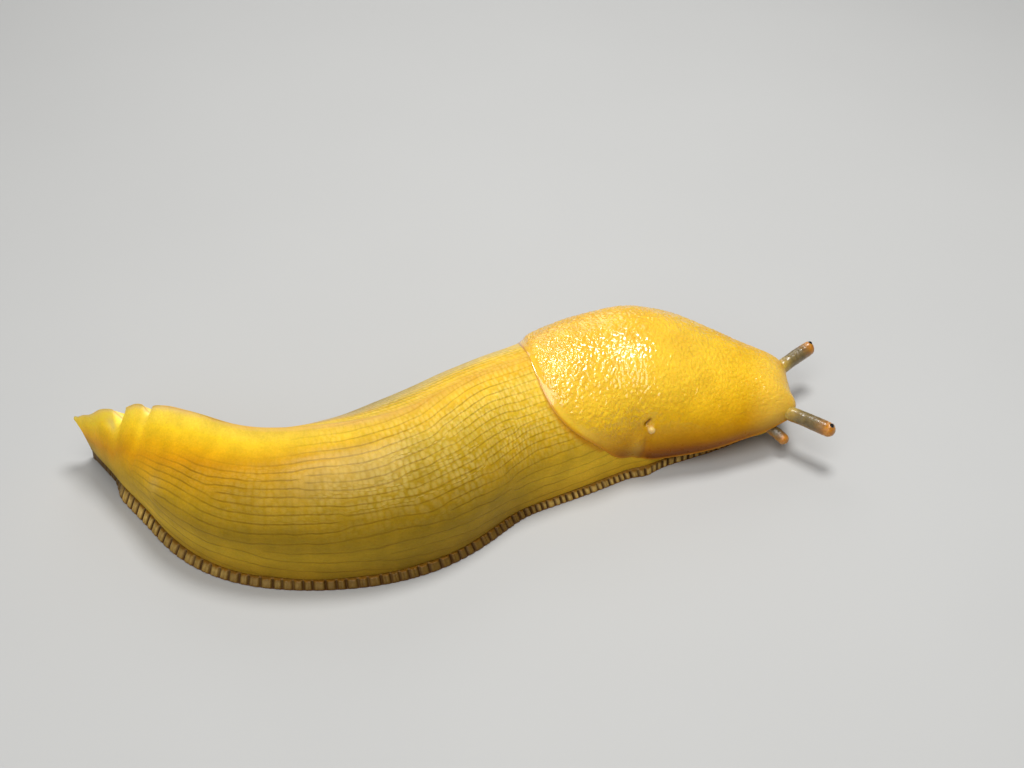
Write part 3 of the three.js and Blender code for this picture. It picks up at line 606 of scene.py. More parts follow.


# Painted light and shade along the length, blended from the low flank up to the back by tone.
skinShade = between(bodyRun, skin["lowShade"])
for zone in ("flank", "back"):
    zoneShade = between(bodyRun, skin[zone + "Shade"])
    skinShade = skinShade + (zoneShade - skinShade) * smooth(tone, *skin[zone + "Tones"])
# Painted light: pale highlight spots on the flank and a pale glow of light along the keel's crest.
paintedLight = np.zeros_like(bodyRise)
for *place, strength in skin["paintedHighlightSpots"]:
    paintedLight = paintedLight + strength * spotAt(*place)
for upTo, runTo, strength in skin["paintedCrestHighlights"]:
    paintedLight = paintedLight + strength * smooth(bodyRise, *upTo) * fall(bodyRun, *runTo)
# Painted shadow low on the flank at the tail's end.
tailShadowUp, tailShadowRun, tailShadowMost = skin["tailShadowLow"]
# Painted shade, in orange, on the skin just under the mantle's margin.
marginOff, marginSpread, marginMost = skin["shadeUnderMargin"]
overMargin = aboveMargin(bodyRun, np.clip(bodyTurn, -1, 1))
skinMasks = {
    "tone": tone, "along": bodyRun / body["length"], "shade": skinShade, "bead": beadZone,
    "beadAlong": bodyRun / skin["beadLength"] + skin["sideShift"] * rightSide,
    "beadAcross": lines + 0.5,
    "lineSine": np.sin(lineTurn), "lineCosine": np.cos(lineTurn), "lineShow": lineFade,
    "lineSpacing": localPitch / (2 * np.pi),
    "wet": bodyRise * smooth(bodyRun, *skin["wetFrom"]) * fall(bodyRise, *skin["wetCrest"]),
    "paintedLight": np.clip(paintedLight, 0, 1), "mouth": mouthShade,
    "tailShadow": tailShadowMost * fall(bodyRise, *tailShadowUp) * fall(bodyRun, *tailShadowRun),
    "shadeUnderMargin": bell(overMargin - marginOff, marginSpread) * (np.abs(bodyTurn) < 1) * marginMost,
}
skinMasks = {key: ringMask(mask) for key, mask in skinMasks.items()}

# Skin colours by tone, near the tail and along the back, and the tints laid over them.
# From the crest down to the groove the bands darken, partly the skin's own colour and partly painted
# shade.
skinLook = {
    "tailBands": [
        (0.00, (0.30, 0.17, 0.010)), (0.15, (0.42, 0.27, 0.014)), (0.42, (0.56, 0.34, 0.012)),
        (0.60, (0.62, 0.32, 0.008)), (0.70, (0.72, 0.33, 0.004)), (0.78, (0.88, 0.47, 0.006)),
        (0.88, (1.00, 0.66, 0.025)), (1.00, (1.00, 0.74, 0.100))],
    "backBands": [
        (0.00, (0.26, 0.15, 0.008)), (0.15, (0.36, 0.225, 0.010)), (0.36, (0.46, 0.275, 0.010)),
        (0.52, (0.62, 0.400, 0.020)), (0.66, (0.78, 0.515, 0.036)), (0.74, (0.82, 0.500, 0.022)),
        (0.86, (1.00, 0.650, 0.045)), (1.00, (1.00, 0.730, 0.100))],
    "tailToBack": [(0.22, 0), (0.45, 1)],
    "mottles": [(0.8, (3.5, 3), [(0.35, (0.86, 0.86, 0.82)), (0.65, (1.08, 1.06, 1.02))]),
                (0.7, (0.35, 2), [(0.3, (0.90, 0.88, 0.84)), (0.7, (1.06, 1.05, 1.04))])],
    "beadScatter": 0.6, "beadStops": [(0.12, 1), (0.34, 0.7), (0.56, 0)],
    # The beads' pale tint is partly painted glints.
    "bead": (0.34, (0.92, 0.71, 0.22)), "beadGap": (0.30, (0.50, 0.31, 0.012)),
    # Painted light, laid in a pale tint.
    "paintedLight": (0.55, (1.0, 0.82, 0.40)),
    "lineGrain": (0.5, 2), "lineWander": 0.06, "lineStops": [(0.05, 1), (0.12, 0.6), (0.24, 0)],
    "line": (0.55, (0.15, 0.075, 0.002)),
    # Painted shadow at the tail's end, painted shade in the mouth, and painted shade under the mantle's
    # margin.
    "layers": {"tailShadow": (0.13, 0.072, 0.022), "mouth": (0.05, 0.02, 0.006),
               "shadeUnderMargin": (0.50, 0.20, 0.006)},
    "lineBump": 0.04, "beadBump": 0.11, "fineGrain": (0.7, 3), "fineBump": 0.09,
    "rough": [(0.30, 0.55), (0.8, 0.30)], "wet": [(0.52, 0), (0.88, 0.5)],
    "finish": {"Subsurface Weight": 0.25, "Subsurface Radius": (1.0, 0.50, 0.06),
               "Subsurface Scale": 0.9 * mm, "Coat Roughness": 0.2, "Coat IOR": 1.6,
               "Specular IOR Level": 0.2, "Specular Tint": (1.0, 0.80, 0.40, 1)},
}


# Skin: bands of colour, beads, and fine dark lines, whose turn comes back from its sine and its
# cosine and is a distance once it is multiplied by the spacing over 2 pi.
# The bands are multiplied by painted light and shade; painted highlights, painted glints on the beads and
# painted shadows are laid over them.
def paintSkin(look):
    paint = Nodes("wetYellowSkin")
    tailBands = paint.ramp(paint.mask("tone"), look["tailBands"])
    backBands = paint.ramp(paint.mask("tone"), look["backBands"])
    colour = paint.mix(paint.fade(paint.mask("along"), look["tailToBack"]), tailBands, backBands)
    colour = paint.mottled(colour, look["mottles"])
    colour = paint.mix(1.0, colour, paint.mask("shade"), "MULTIPLY")
    toBead = paint.scattered("beadAlong", "beadAcross", look["beadScatter"])
    bead = paint.math("MULTIPLY", paint.fade(toBead, look["beadStops"]), paint.mask("bead"))
    gap = paint.math("SUBTRACT", paint.mask("bead"), bead)
    colour = paint.lay(colour, bead, *look["bead"])
    colour = paint.lay(colour, gap, *look["beadGap"])
    colour = paint.lay(colour, paint.mask("paintedLight"), *look["paintedLight"])
    angle = paint.math("ARCTAN2", paint.mask("lineSine"), paint.mask("lineCosine"))
    off = paint.math("MULTIPLY", paint.math("ABSOLUTE", angle), paint.mask("lineSpacing"))
    wander = paint.math("MULTIPLY", paint.grain(*look["lineGrain"]), look["lineWander"])
    off = paint.math("ADD", off, wander)
    core = paint.math("MULTIPLY", paint.fade(off, look["lineStops"]), paint.mask("lineShow"))
    colour = paint.lay(colour, core, *look["line"])
    normal = paint.bump(paint.math("SUBTRACT", 1.0, core), look["lineBump"])
    normal = paint.bump(bead, look["beadBump"], normal)
    normal = paint.bump(paint.grain(*look["fineGrain"]), look["fineBump"], normal)
    return paint.finish({
        "Base Color": paint.layers(colour, look["layers"]), "Normal": normal,
        "Roughness": paint.fade(paint.mask("wet"), look["rough"]),
        "Coat Weight": paint.fade(paint.mask("wet"), look["wet"]), **look["finish"]})


meshPiece("body_skin", skinRing, ringFaces(*skinRing.shape[:2], skinPoints.shape[1]), skinMasks,
          paintSkin(skinLook),
          ["tail", "torso_rear", "torso_middle", "torso_front", "neck", "head"])

# Mantle: a grid between the margin and the crest, whose edge rolls under and closes inside.
# Swells and grain are a noise's strength, size and seed. A ridge is a share of the wrinkles'
# height and of their size, a seed and how sharp it is.
cloak = {
    "rows": 330, "halfColumns": 118, "underColumns": 16,
    "middle": (117.0, 0.0), "span": (27.0, 1.6), "rays": 1441, "furthest": 1.25, "halvings": 40,
    "lipColumns": 7, "lipRound": 0.22, "lipDeep": 2.0, "lipBack": 0.8,
    "marginSink": 0.7, "marginWide": 1.9, "shallowAt": (102, 6, 0.6),
    "wrinkle": 0.8, "wrinkleHeight": 0.15, "wrinkleLevel": 0.6,
    "ridges": [(1, 1, 11, 3.2), (0.5, 0.62, 12, 3.0)], "warp": (0.5, 1.6, (31, 32, 33)),
    "wrinkledIn": (0.7, 3), "wrinkledUp": (6, 17), "wrinkledRear": (0.35, 116, 14),
    "grain": (0.05, 0.6, 14), "swells": (0.3, 8.0, 15), "swellsIn": (1, 6),
}

# The margin seen from the middle of the mantle: along each ray, halving finds where it crosses.
angles = np.linspace(0, 2 * np.pi, cloak["rays"])
rayRun, rayTurn = cloak["span"][0] * np.cos(angles), cloak["span"][1] * np.sin(angles)
nearest, furthest = np.zeros_like(angles), np.full_like(angles, cloak["furthest"])
for _ in range(cloak["halvings"]):
    middle = 0.5 * (nearest + furthest)
    inside = aboveMargin(cloak["middle"][0] + middle * rayRun, middle * rayTurn) > 0
    nearest, furthest = np.where(inside, middle, nearest), np.where(inside, furthest, middle)
marginRun, marginTurn = cloak["middle"][0] + nearest * rayRun, nearest * rayTurn
marginAt = mantlePoint(marginRun, marginTurn)
rear = cloak["rays"] // 2


# One side of the margin from the rear of the mantle to its front, in even steps.
def marginSide(order):
    travelled = travelledAlong(marginAt[order])
    even = np.linspace(0, travelled[-1], cloak["rows"])
    return np.interp(even, travelled, marginRun[order]), np.interp(even, travelled, marginTurn[order])


leftRun, leftTurn = marginSide(np.arange(rear, -1, -1))
rightRun, rightTurn = marginSide(np.arange(rear, cloak["rays"]))
crestRun = np.linspace(leftRun[0], leftRun[-1], cloak["rows"])
inwards = np.linspace(0, 1, cloak["halfColumns"])
toRight, toLeft = inwards[::-1, None], inwards[1:, None]
mantleRun = np.concatenate([crestRun + (rightRun - crestRun) * toRight,
                            crestRun + (leftRun - crestRun) * toLeft]).T
mantleTurn = np.concatenate([rightTurn * toRight, leftTurn * toLeft]).T
cover = mantlePoint(mantleRun, mantleTurn)
coverUp = cover[..., 2]

# Outward normals of the mantle from small steps along and around it.
nudge = 0.02
alongStep = mantlePoint(mantleRun + nudge, mantleTurn) - mantlePoint(mantleRun - nudge, mantleTurn)
roundStep = mantlePoint(mantleRun, mantleTurn + nudge) - mantlePoint(mantleRun, mantleTurn - nudge)
outward = unit(np.cross(alongStep, roundStep))

# Wrinkles: ridges where two noises cross zero, faint low down and along the margin.
toMargin = np.minimum(np.linalg.norm(cover - cover[:, :1], axis=-1),
                      np.linalg.norm(cover - cover[:, -1:], axis=-1))
warpBy, warpSize, warpSeeds = cloak["warp"]
warped = cover + warpBy * np.stack([noise(cover, warpSize, seed) for seed in warpSeeds], axis=-1)
ridges = 0
for tall, scale, seed, sharp in cloak["ridges"]:
    offZero = np.abs(noise(warped, cloak["wrinkle"] * scale, seed))
    ridges = ridges + tall * (1 - np.minimum(offZero * sharp, 1))
inFromMargin = smooth(toMargin, *cloak["wrinkledIn"])
rearShare, rearTo, rearWide = cloak["wrinkledRear"]
wrinkled = inFromMargin * smooth(coverUp, *cloak["wrinkledUp"])
wrinkled = wrinkled + rearShare * inFromMargin * smooth(rearTo - mantleRun, 0, rearWide)
wrinkled = np.clip(wrinkled, 0, 1)
ridgeHeight = cloak["wrinkleHeight"] * (ridges - cloak["wrinkleLevel"])
mantleHeight = wrinkled * (waves(cover, *cloak["grain"]) - ridgeHeight)
mantleHeight = mantleHeight + waves(cover, *cloak["swells"]) * smooth(toMargin, *cloak["swellsIn"])

# The breathing pore: a tilted slit in a bowl, a wet bead below it, and a fold and a flap from it
# down to the margin. The bend and the slope turn a length and a height into ways ahead and up.
# A fold and a flap are a place ahead, a half width, where they start and are full, and a height.
pore = {
    "at": 111.9, "height": 12.5, "bend": 0.55, "slope": 1.4, "tilt": 44,
    "slit": {"long": 1.3, "wide": 0.42, "deep": 0.5},
    "bowl": {"long": 2.4, "wide": 1.3, "across": -0.5, "deep": 0.4},
    "bead": {"ahead": 0.75, "up": -1.5, "size": 1.0, "power": 0.7, "proud": 0.45},
    # The bead's dark edge is a ring of painted shade.
    "beadEdge": {"at": 1.15, "wide": 0.2, "dark": 0.4},
    "foldFrom": (-0.1, 0.06), "foldIn": (0.0, 2.5),
    "fold": (0.0, 0.7, 2.5, 5.0, 0.22), "flap": (-2.4, 1.6, 1.5, 7.0, 0.30),
}
porePit, poreBowl, poreBead, poreRim = (pore[part] for part in ("slit", "bowl", "bead", "beadEdge"))
poreSide = mantleTurn < 0
poreAhead = (mantleRun - pore["at"]) * pore["bend"]
poreUp = (coverUp - pore["height"]) * pore["slope"]
tilt = np.radians(pore["tilt"])
slitAlong = poreAhead * np.cos(tilt) + poreUp * np.sin(tilt)
slitAcross = poreUp * np.cos(tilt) - poreAhead * np.sin(tilt)
pitShape = np.exp(-(slitAlong / porePit["long"]) ** 4 - (slitAcross / porePit["wide"]) ** 2) * poreSide
bowlShape = bell(slitAlong, poreBowl["long"], slitAcross - poreBowl["across"], poreBowl["wide"])
bowlShape = bowlShape * poreSide
beadSize = poreBead["size"]
beadOff = np.hypot(poreAhead - poreBead["ahead"], poreUp - poreBead["up"] * pore["slope"])
beadShape = np.maximum(1 - (beadOff / beadSize) ** 2, 0) ** poreBead["power"] * poreSide
beadEdge = poreRim["dark"] * bell(beadOff - poreRim["at"] * beadSize, poreRim["wide"]) * poreSide
foldAhead = poreAhead - pore["foldFrom"][0] - pore["foldFrom"][1] * poreUp


# A ridge or a groove that runs from the pore down to the margin.
def downFromPore(ahead, wide, start, full, tall):
    return bell(foldAhead - ahead, wide) * smooth(-poreUp, start, full) * poreSide


poreFold, poreFlap = downFromPore(*pore["fold"]), downFromPore(*pore["flap"])
mantleHeight = mantleHeight - porePit["deep"] * pitShape - poreBowl["deep"] * bowlShape
mantleHeight = mantleHeight + poreBead["proud"] * beadShape
folded = pore["flap"][-1] * poreFlap - pore["fold"][-1] * poreFold
mantleHeight = mantleHeight + folded * smooth(toMargin, *pore["foldIn"])

# The margin sinks into the back, less so behind the pore.
shallowAt, shallowSpread, shallowBy = cloak["shallowAt"]
sink = 1 - shallowBy * bell(mantleRun - shallowAt, shallowSpread) * poreSide
sink = cloak["marginSink"] * sink * bell(toMargin, cloak["marginWide"])
top = cover + outward * (mantleHeight - sink)[..., None]
print("slug: mantle surface worked out", top.shape)


# The lip: from the margin the skin rolls under in a quarter circle and goes on inwards.
def lipOf(column, sign):
    edge, normal = top[:, column], outward[:, column]
    tangent = np.gradient(edge, axis=0)
    tangent[0] = (top[1, -1] - top[1, 0]) * sign
    tangent[-1] = (top[-2, -1] - top[-2, 0]) * -sign
    away = unit(np.cross(normal, tangent)) * sign
    turns = np.linspace(0, np.pi / 2, cloak["lipColumns"])[1:]
    out = (cloak["lipRound"] * np.sin(turns))[None, :, None]
    down = (cloak["lipRound"] * (1 - np.cos(turns)))[None, :, None]
    rolled = edge[:, None] + away[:, None] * out - normal[:, None] * down
    deep = edge - normal * cloak["lipDeep"] - away * cloak["lipBack"]
    return np.concatenate([rolled, deep[:, None]], axis=1)


leftLip, rightLip = lipOf(-1, 1), lipOf(0, -1)
under = bridge(leftLip[:, -1:], rightLip[:, -1:], cloak["underColumns"])
mantleRing = np.concatenate([rightLip[:, ::-1], top, leftLip, under], axis=1)


# A mask over the mantle, carried on round both lips and under it as the value at the margin.
def coverMask(mask):
    right = np.repeat(mask[:, :1], cloak["lipColumns"], axis=1)
    left = np.repeat(mask[:, -1:], cloak["lipColumns"] + cloak["underColumns"], axis=1)
    return np.concatenate([right, mask, left], axis=1)


# Painted shade and painted light on the mantle: strengths, and where each mark starts and is full.
marks = {
    "lowest": 3.5, "levels": 20, "edgeDark": (0.7, 0.3), "foldDark": 0.25,
    "farSideShade": (0.2, 0.05, 0.4), "edgeHighlight": (0.15, 1.0, 0.5), "edgeHighlightUp": (8, 16),
    "flapLight": 0.2, "hoodLight": 0.35, "hoodRun": (134, 141), "hoodUp": (5, 9),
    "poreDark": (1.1, 0.1), "dropLeast": 0.35, "dropMore": 0.5, "dropRim": (0.3, 0.75),
}
edgeDark, edgeShadeWide = marks["edgeDark"]
farSideShade, leftStart, leftFull = marks["farSideShade"]
edgeHighlight, edgeHighlightAt, edgeHighlightWide = marks["edgeHighlight"]
# Painted shade: a line along the margin, along the fold from the pore, in a ring round the wet bead, and
# over the far side.
paintedShade = edgeDark * bell(toMargin, edgeShadeWide) + marks["foldDark"] * poreFold
paintedShade = paintedShade + beadEdge + farSideShade * smooth(mantleTurn, leftStart, leftFull)
# Painted light: a pale highlight along the margin's edge up high, on the flap and over the hood's front.
paintedMantleLight = edgeHighlight * bell(toMargin - edgeHighlightAt, edgeHighlightWide) * smooth(coverUp, *marks["edgeHighlightUp"])
paintedMantleLight = paintedMantleLight + marks["flapLight"] * poreFlap
paintedMantleLight = paintedMantleLight + (marks["hoodLight"] * smooth(mantleRun, *marks["hoodRun"])
             * smooth(coverUp, *marks["hoodUp"]))
# Painted shade inside the breathing pore's slit.
pit = np.clip(pitShape * marks["poreDark"][0] - marks["poreDark"][1], 0, 1)
# The wet bead by the pore is painted pale with a paler rim, partly painted highlight.
dropRim = smooth(beadOff, *(share * beadSize for share in marks["dropRim"]))
mantleMasks = {
    "level": np.clip((coverUp - marks["lowest"]) / marks["levels"], 0, 1),
    "wrinkled": wrinkled, "paintedShade": np.clip(paintedShade, 0, 1), "paintedMantleLight": np.clip(paintedMantleLight, 0, 1),
    "pore": pit * (beadShape < 0.1),
    "drop": beadShape * (marks["dropLeast"] + marks["dropMore"] * dropRim),
}
mantleMasks = {key: coverMask(mask) for key, mask in mantleMasks.items()}

# Mantle colours by height, and the tints laid over them.
# Low down the bands are darker, as painted shade.
mantleLook = {
    "bands": [(0.00, (0.15, 0.035, 0.0005)), (0.12, (0.29, 0.090, 0.001)),
              (0.30, (0.60, 0.290, 0.002)), (0.50, (0.80, 0.470, 0.010)),
              (0.72, (0.92, 0.580, 0.030)), (0.90, (0.94, 0.580, 0.040)),
              (1.00, (0.92, 0.520, 0.030))],
    "mottles": [(0.85, (4.5, 3), [(0.35, (0.90, 0.86, 0.80)), (0.65, (1.06, 1.05, 1.05))]),
                (0.6, (0.5, 2), [(0.3, (0.88, 0.84, 0.76)), (0.7, (1.06, 1.06, 1.06))])],
    # Tints: painted light, painted shade, painted shade in the pore, and the wet bead's pale colour,
    # partly painted highlight.
    "layers": {"paintedMantleLight": (1.0, 0.70, 0.13), "paintedShade": (0.55, 0.21, 0.004),
               "pore": (0.22, 0.075, 0.001), "drop": (0.95, 0.78, 0.38)},
    "wormGrain": (0.62, 1, 0.4), "wormStops": [(0.42, 1), (0.50, 0), (0.58, 1)], "wormBump": 0.05,
    "fineGrain": (0.25, 2), "fineBump": 0.03,
    "roughGrain": (1.0, 3), "rough": [(0.3, 0.24), (0.7, 0.42)], "wet": [(0.25, 0), (0.75, 0.9)],
    "finish": {"Subsurface Weight": 0.25, "Subsurface Radius": (1.0, 0.48, 0.05),
               "Subsurface Scale": 1.0 * mm, "Coat Roughness": 0.13, "Coat IOR": 1.7,
               "Specular IOR Level": 0.15, "Specular Tint": (1.0, 0.80, 0.40, 1)},
}


# Mantle: bands of colour by height under a wet coat, with worm-like lines between the wrinkles.
# The darker bands low down are painted shade, and painted light and shade lie over them.
def paintMantle(look):
    paint = Nodes("wetMantleSkin")
    colour = paint.mottled(paint.ramp(paint.mask("level"), look["bands"]), look["mottles"])
    worms = paint.fade(paint.grain(*look["wormGrain"]), look["wormStops"])
    worms = paint.math("MULTIPLY", worms, paint.mask("wrinkled"))
    normal = paint.bump(worms, look["wormBump"])
    normal = paint.bump(paint.grain(*look["fineGrain"]), look["fineBump"], normal)
    return paint.finish({
        "Base Color": paint.layers(colour, look["layers"]), "Normal": normal,
        "Roughness": paint.fade(paint.grain(*look["roughGrain"]), look["rough"]),
        "Coat Weight": paint.fade(paint.mask("level"), look["wet"]), **look["finish"]})


meshPiece("mantle_skin", mantleRing, gridFaces(*mantleRing.shape[:2]), mantleMasks,
          paintMantle(mantleLook), ["mantle"])

# Foot: rings from the sole round a sloping edge; furrows part the edge into blocks. The edge is
# an outline of shares: how far in, of the run, and how far up, of the thickness.
sole = {
    "rowGap": 0.085, "soleColumns": 5, "topColumns": 3, "tailSlim": (0.3, 6.0, 11.5),
    "edge": [(0.30, 0.00), (0.12, 0.02), (0.03, 0.09), (0.02, 0.18), (0.08, 0.30), (0.20, 0.42),
             (0.35, 0.54), (0.51, 0.66), (0.67, 0.78), (0.82, 0.89), (0.95, 0.97), (1.10, 1.01),
             (1.30, 1.02), (1.60, 1.08), (2.10, 1.30)],
    "thin": 0.02, "edgeThin": 0.004, "faceFrom": (0.5, 3.5), "faceTo": (10.0, 12.5),
    "blocks": 140, "blockScale": [(0, 0.85), (14, 1.0), (40, 1.12), (80, 1.1), (100, 0.75),
                                  (140, 0.75)],
    "blockBulge": 0.06, "strengths": (0.7, 1.1), "middles": (0.35, 0.65), "halfPower": 0.7,
    "furrowDeep": 0.42, "furrowWide": 0.29, "halfDeep": 0.10, "halfWide": 0.16,
    "pushIn": 0.85, "pushDown": 0.5, "furrowDark": 1.2, "halfDark": 0.25,
    # Where the furrows start and fade out, and the painted shade that darkens the edge at the tail's end.
    "furrowsFrom": (2.0, 10.0), "furrowsTo": (9, 4), "footTailShadeEnd": (8, 10.5), "dim": 0.6,
    # Painted light along the edge: the share of lit colours over shaded ones at a length.
    "litShareAt": [(0, 0), (8.5, 0), (11, 1), (27, 0.9), (38, 0.3), (50, 0.05), (80, 0.05), (92, 0.9),
                 (140, 0.9)],
}
footEnd = lastRun(foot)
footRuns = np.arange(-foot["rearRound"] * np.pi / 2, footEnd, sole["rowGap"])
footRuns = np.concatenate([footRuns, [footEnd]])


# The half width of the foot: its table, closed by a blunt front and a round rear.
def footHalf(run):
    at, shrink = bluntEnd(run, foot)
    turn = np.clip(-run / foot["rearRound"], 0, np.pi / 2)
    at = np.where(run < 0, -foot["rearRound"] * np.sin(turn), at)
    slimmer, start, full = sole["tailSlim"]
    slim = 1 - slimmer * fall(at, start, full)
    wide = curveThrough(at, body["sections"], 3) * slim * shrink * np.cos(turn)
    return at, np.maximum(wide, sole["thin"])


footAt, halfWide = footHalf(footRuns)
headroom = np.minimum(halfWide / (2 * foot["pedalGroove"]), 1)[:, None]
edgeIn, edgeHigh = np.array(sole["edge"]).T
edgePlace = np.arange(len(edgeIn))
edgeScale = curveThrough(footAt, foot["edgeScale"], 1)[:, None]
leftOut = halfWide[:, None] - foot["run"] * edgeIn * headroom * edgeScale
leftOut = np.maximum(leftOut, sole["edgeThin"] * (len(edgeIn) - edgePlace))
edgeUp = foot["thickness"] * edgeScale * edgeHigh
faceOn = smooth(edgePlace, *sole["faceFrom"]) * fall(edgePlace, *sole["faceTo"])


# Furrow depth and shade along one edge, from block lengths drawn in turn. Each furrow is a soft
# cut, and the shallower ones lie near the middle of their blocks.
def furrowsOf(side, seed):
    travelled = travelledAlong(along(footAt, side * halfWide, 0.0))
    end = travelled[-1]
    count = sole["blocks"]
    draw = np.random.default_rng(seed)
    blocks = foot["block"] + foot["blockVariation"] * draw.uniform(-1, 1, count)
    blocks = blocks * between(np.minimum(np.cumsum(blocks), end), sole["blockScale"])
    cuts = np.cumsum(blocks)
    middles = cuts - blocks * draw.uniform(*sole["middles"], count)
    strength = draw.uniform(*sole["strengths"], count)
    halfStrength = draw.uniform(0, 1, count) ** sole["halfPower"]
    tint = draw.uniform(0, 1, count + 1)[np.searchsorted(cuts, travelled)]
    place = travelled[:, None]
    main = (strength * bell(place - cuts, sole["furrowWide"])).sum(axis=1)
    minor = (halfStrength * bell(place - middles, sole["halfWide"])).sum(axis=1)
    last, fadeOut = sole["furrowsTo"]
    ends = smooth(travelled, *sole["furrowsFrom"]) * fall(travelled, end - last, end - fadeOut)
    return (main * ends)[:, None], (minor * ends)[:, None], (tint * ends)[:, None]


# One edge of the foot with its furrows cut in: its points, its shade and its tint.
def edgeOf(side, seed):
    main, minor, tint = furrowsOf(side, seed)
    deep = sole["furrowDeep"] * main + sole["halfDeep"] * minor - sole["blockBulge"] * (1 - main)
    deep = deep * faceOn * headroom
    points = along(footAt[:, None], side * (leftOut - deep * sole["pushIn"]),
                   edgeUp - deep * sole["pushDown"] * (edgeHigh > 0.1))
    shade = np.clip((sole["furrowDark"] * main + sole["halfDark"] * minor) * faceOn, 0, 1)
    return points, shade, tint * np.ones(len(edgeIn))


leftPoints, leftShade, leftTint = edgeOf(1, 29)
rightPoints, rightShade, rightTint = edgeOf(-1, 11)
soleOut = leftOut[:, :1] * np.linspace(-1, 1, sole["soleColumns"] * 2 + 1)[1:-1]
solePoints = along(footAt[:, None], soleOut, np.zeros_like(soleOut))
topOut = leftOut[:, -1:] * np.linspace(1, -1, sole["topColumns"] + 2)[1:-1]
topPoints = along(footAt[:, None], topOut, edgeUp[:, -1:] + 0 * topOut)


# One ring of values: the right edge, the sole, the left edge and the top.
def footRingOf(right, under, left, over):
    return np.concatenate([right[:, ::-1], under, left, over], axis=1)


footRing = footRingOf(rightPoints, solePoints, leftPoints, topPoints)
print("slug: foot surface worked out", footRing.shape)
whole = np.ones(footRing.shape[1])
footMasks = {
    "furrow": footRingOf(rightShade, 0 * soleOut, leftShade, 0 * topOut),
    "tint": footRingOf(rightTint, 0 * soleOut, leftTint, 0 * topOut),
    "litShare": between(footAt, sole["litShareAt"])[:, None] * whole,
    "dim": sole["dim"] * fall(footAt, *sole["footTailShadeEnd"])[:, None] * whole,
    "up": np.clip(footRing[..., 2] / (foot["thickness"] * edgeScale), 0, 1),
}

# Foot colours by height, a shaded copy and a lit copy mixed by painted light along the length, and the
# tints over them.
footLook = {
    "dark": [(0.00, (0.08, 0.020, 0.001)), (0.12, (0.11, 0.030, 0.001)),
             (0.30, (0.11, 0.053, 0.005)), (0.70, (0.14, 0.076, 0.009)),
             (0.93, (0.13, 0.064, 0.006)), (1.00, (0.24, 0.105, 0.006))],
    "paintedLight": [(0.00, (0.12, 0.030, 0.002)), (0.12, (0.30, 0.110, 0.010)),
             (0.30, (0.58, 0.370, 0.085)), (0.70, (0.74, 0.510, 0.150)),
             (0.93, (0.55, 0.350, 0.080)), (1.00, (0.30, 0.140, 0.010))],
    "mottles": [(0.85, (0.6, 3), [(0.3, (0.74, 0.70, 0.64)), (0.7, (1.15, 1.15, 1.10))])],
    "tint": (0.55, (0.15, 0.078, 0.012)), "fineGrain": (0.25, 2), "fineBump": 0.04,
    # Darker furrows, and painted shade at the tail's end.
    "layers": {"furrow": (0.060, 0.022, 0.002), "dim": (0.110, 0.055, 0.010)},
    "finish": {"Roughness": 0.42, "Subsurface Weight": 0.15, "Subsurface Radius": (1.0, 0.5, 0.2),
               "Subsurface Scale": 0.6 * mm, "Specular IOR Level": 0.3,
               "Specular Tint": (1.0, 0.80, 0.5, 1), "Coat Weight": 0.10, "Coat Roughness": 0.2},
}


# Foot: blocks along the edge, shaded or lit by painted light along the length, with darker furrows
# between them.
def paintFoot(look):
    paint = Nodes("fringedFoot")
    dark, paintedLight = (paint.ramp(paint.mask("up"), look[part]) for part in ("dark", "paintedLight"))
    colour = paint.mottled(paint.mix(paint.mask("litShare"), dark, paintedLight), look["mottles"])
    colour = paint.lay(colour, paint.mask("tint"), *look["tint"])
    normal = paint.bump(paint.grain(*look["fineGrain"]), look["fineBump"])
    return paint.finish({"Base Color": paint.layers(colour, look["layers"]), "Normal": normal,
                         **look["finish"]})


meshPiece("foot_skin", footRing, gridFaces(*footRing.shape[:2]), footMasks,
          paintFoot(footLook), ["foot_rear", "foot_middle", "foot_front"])

# Tentacles: tapered stalks on a curve from the head to a rounded bulb. The radii are even steps
# along the stalk, and each side is its root and its tip: length, way out and height.
stalks = {
    "rings": 96, "around": 56, "lift": 0.4, "capRings": 16,
    "bulb": 1.38, "eyeSeat": (0.35, 0.78), "eyeRim": (0.2, 0.8),
    "wrinkles": [(0.05, 0.5, 41), (0.05, 1.1, 42)], "underTint": 0.9, "lowerTint": 0.5,
    "upper": {"radii": [1.75, 1.55, 1.42, 1.36, 1.36, 1.4, 1.38],
              "right": ((139.4, 3.4, 7.4), (149.8, 10.8, 8.3)),
              "left": ((139.4, 4.4, 7.0), (148.3, 12.1, 8.9))},
    "lower": {"radii": [1.35, 1.22, 1.1, 1.04, 1.06, 1.08],
              "right": ((137.4, 4.6, 5.2), (142.5, 8.3, 3.4)),
              "left": ((137.4, 4.4, 5.2), (143.2, 7.8, 3.2))},
    "bands": [(0.00, (0.62, 0.40, 0.03)), (0.38, (0.50, 0.330, 0.05)), (0.56, (0.20, 0.145, 0.050)),
              (0.80, (0.16, 0.115, 0.048)), (0.92, (0.28, 0.140, 0.035)),
              (1.00, (0.50, 0.200, 0.015))],
    "mottles": [(0.8, (0.7, 3), [(0.3, (0.70, 0.68, 0.64)), (0.7, (1.2, 1.2, 1.15))])],
    "layers": {"under": (0.50, 0.22, 0.015)}, "fineGrain": (0.3, 2), "fineBump": 0.05,
    "finish": {"Roughness": 0.3, "Subsurface Weight": 0.5, "Subsurface Radius": (1.0, 0.6, 0.3),
               "Subsurface Scale": 1.0 * mm, "Coat Weight": 0.4, "Coat Roughness": 0.12},
}


# Tentacle skin: grey-brown between a yellow root and an orange tip, and orange underneath.
def paintTentacles(look):
    paint = Nodes("tentacleSkin")
    colour = paint.mottled(paint.ramp(paint.mask("share"), look["bands"]), look["mottles"])
    normal = paint.bump(paint.grain(*look["fineGrain"]), look["fineBump"])
    return paint.finish({"Base Color": paint.layers(colour, look["layers"]), "Normal": normal,
                         **look["finish"]})


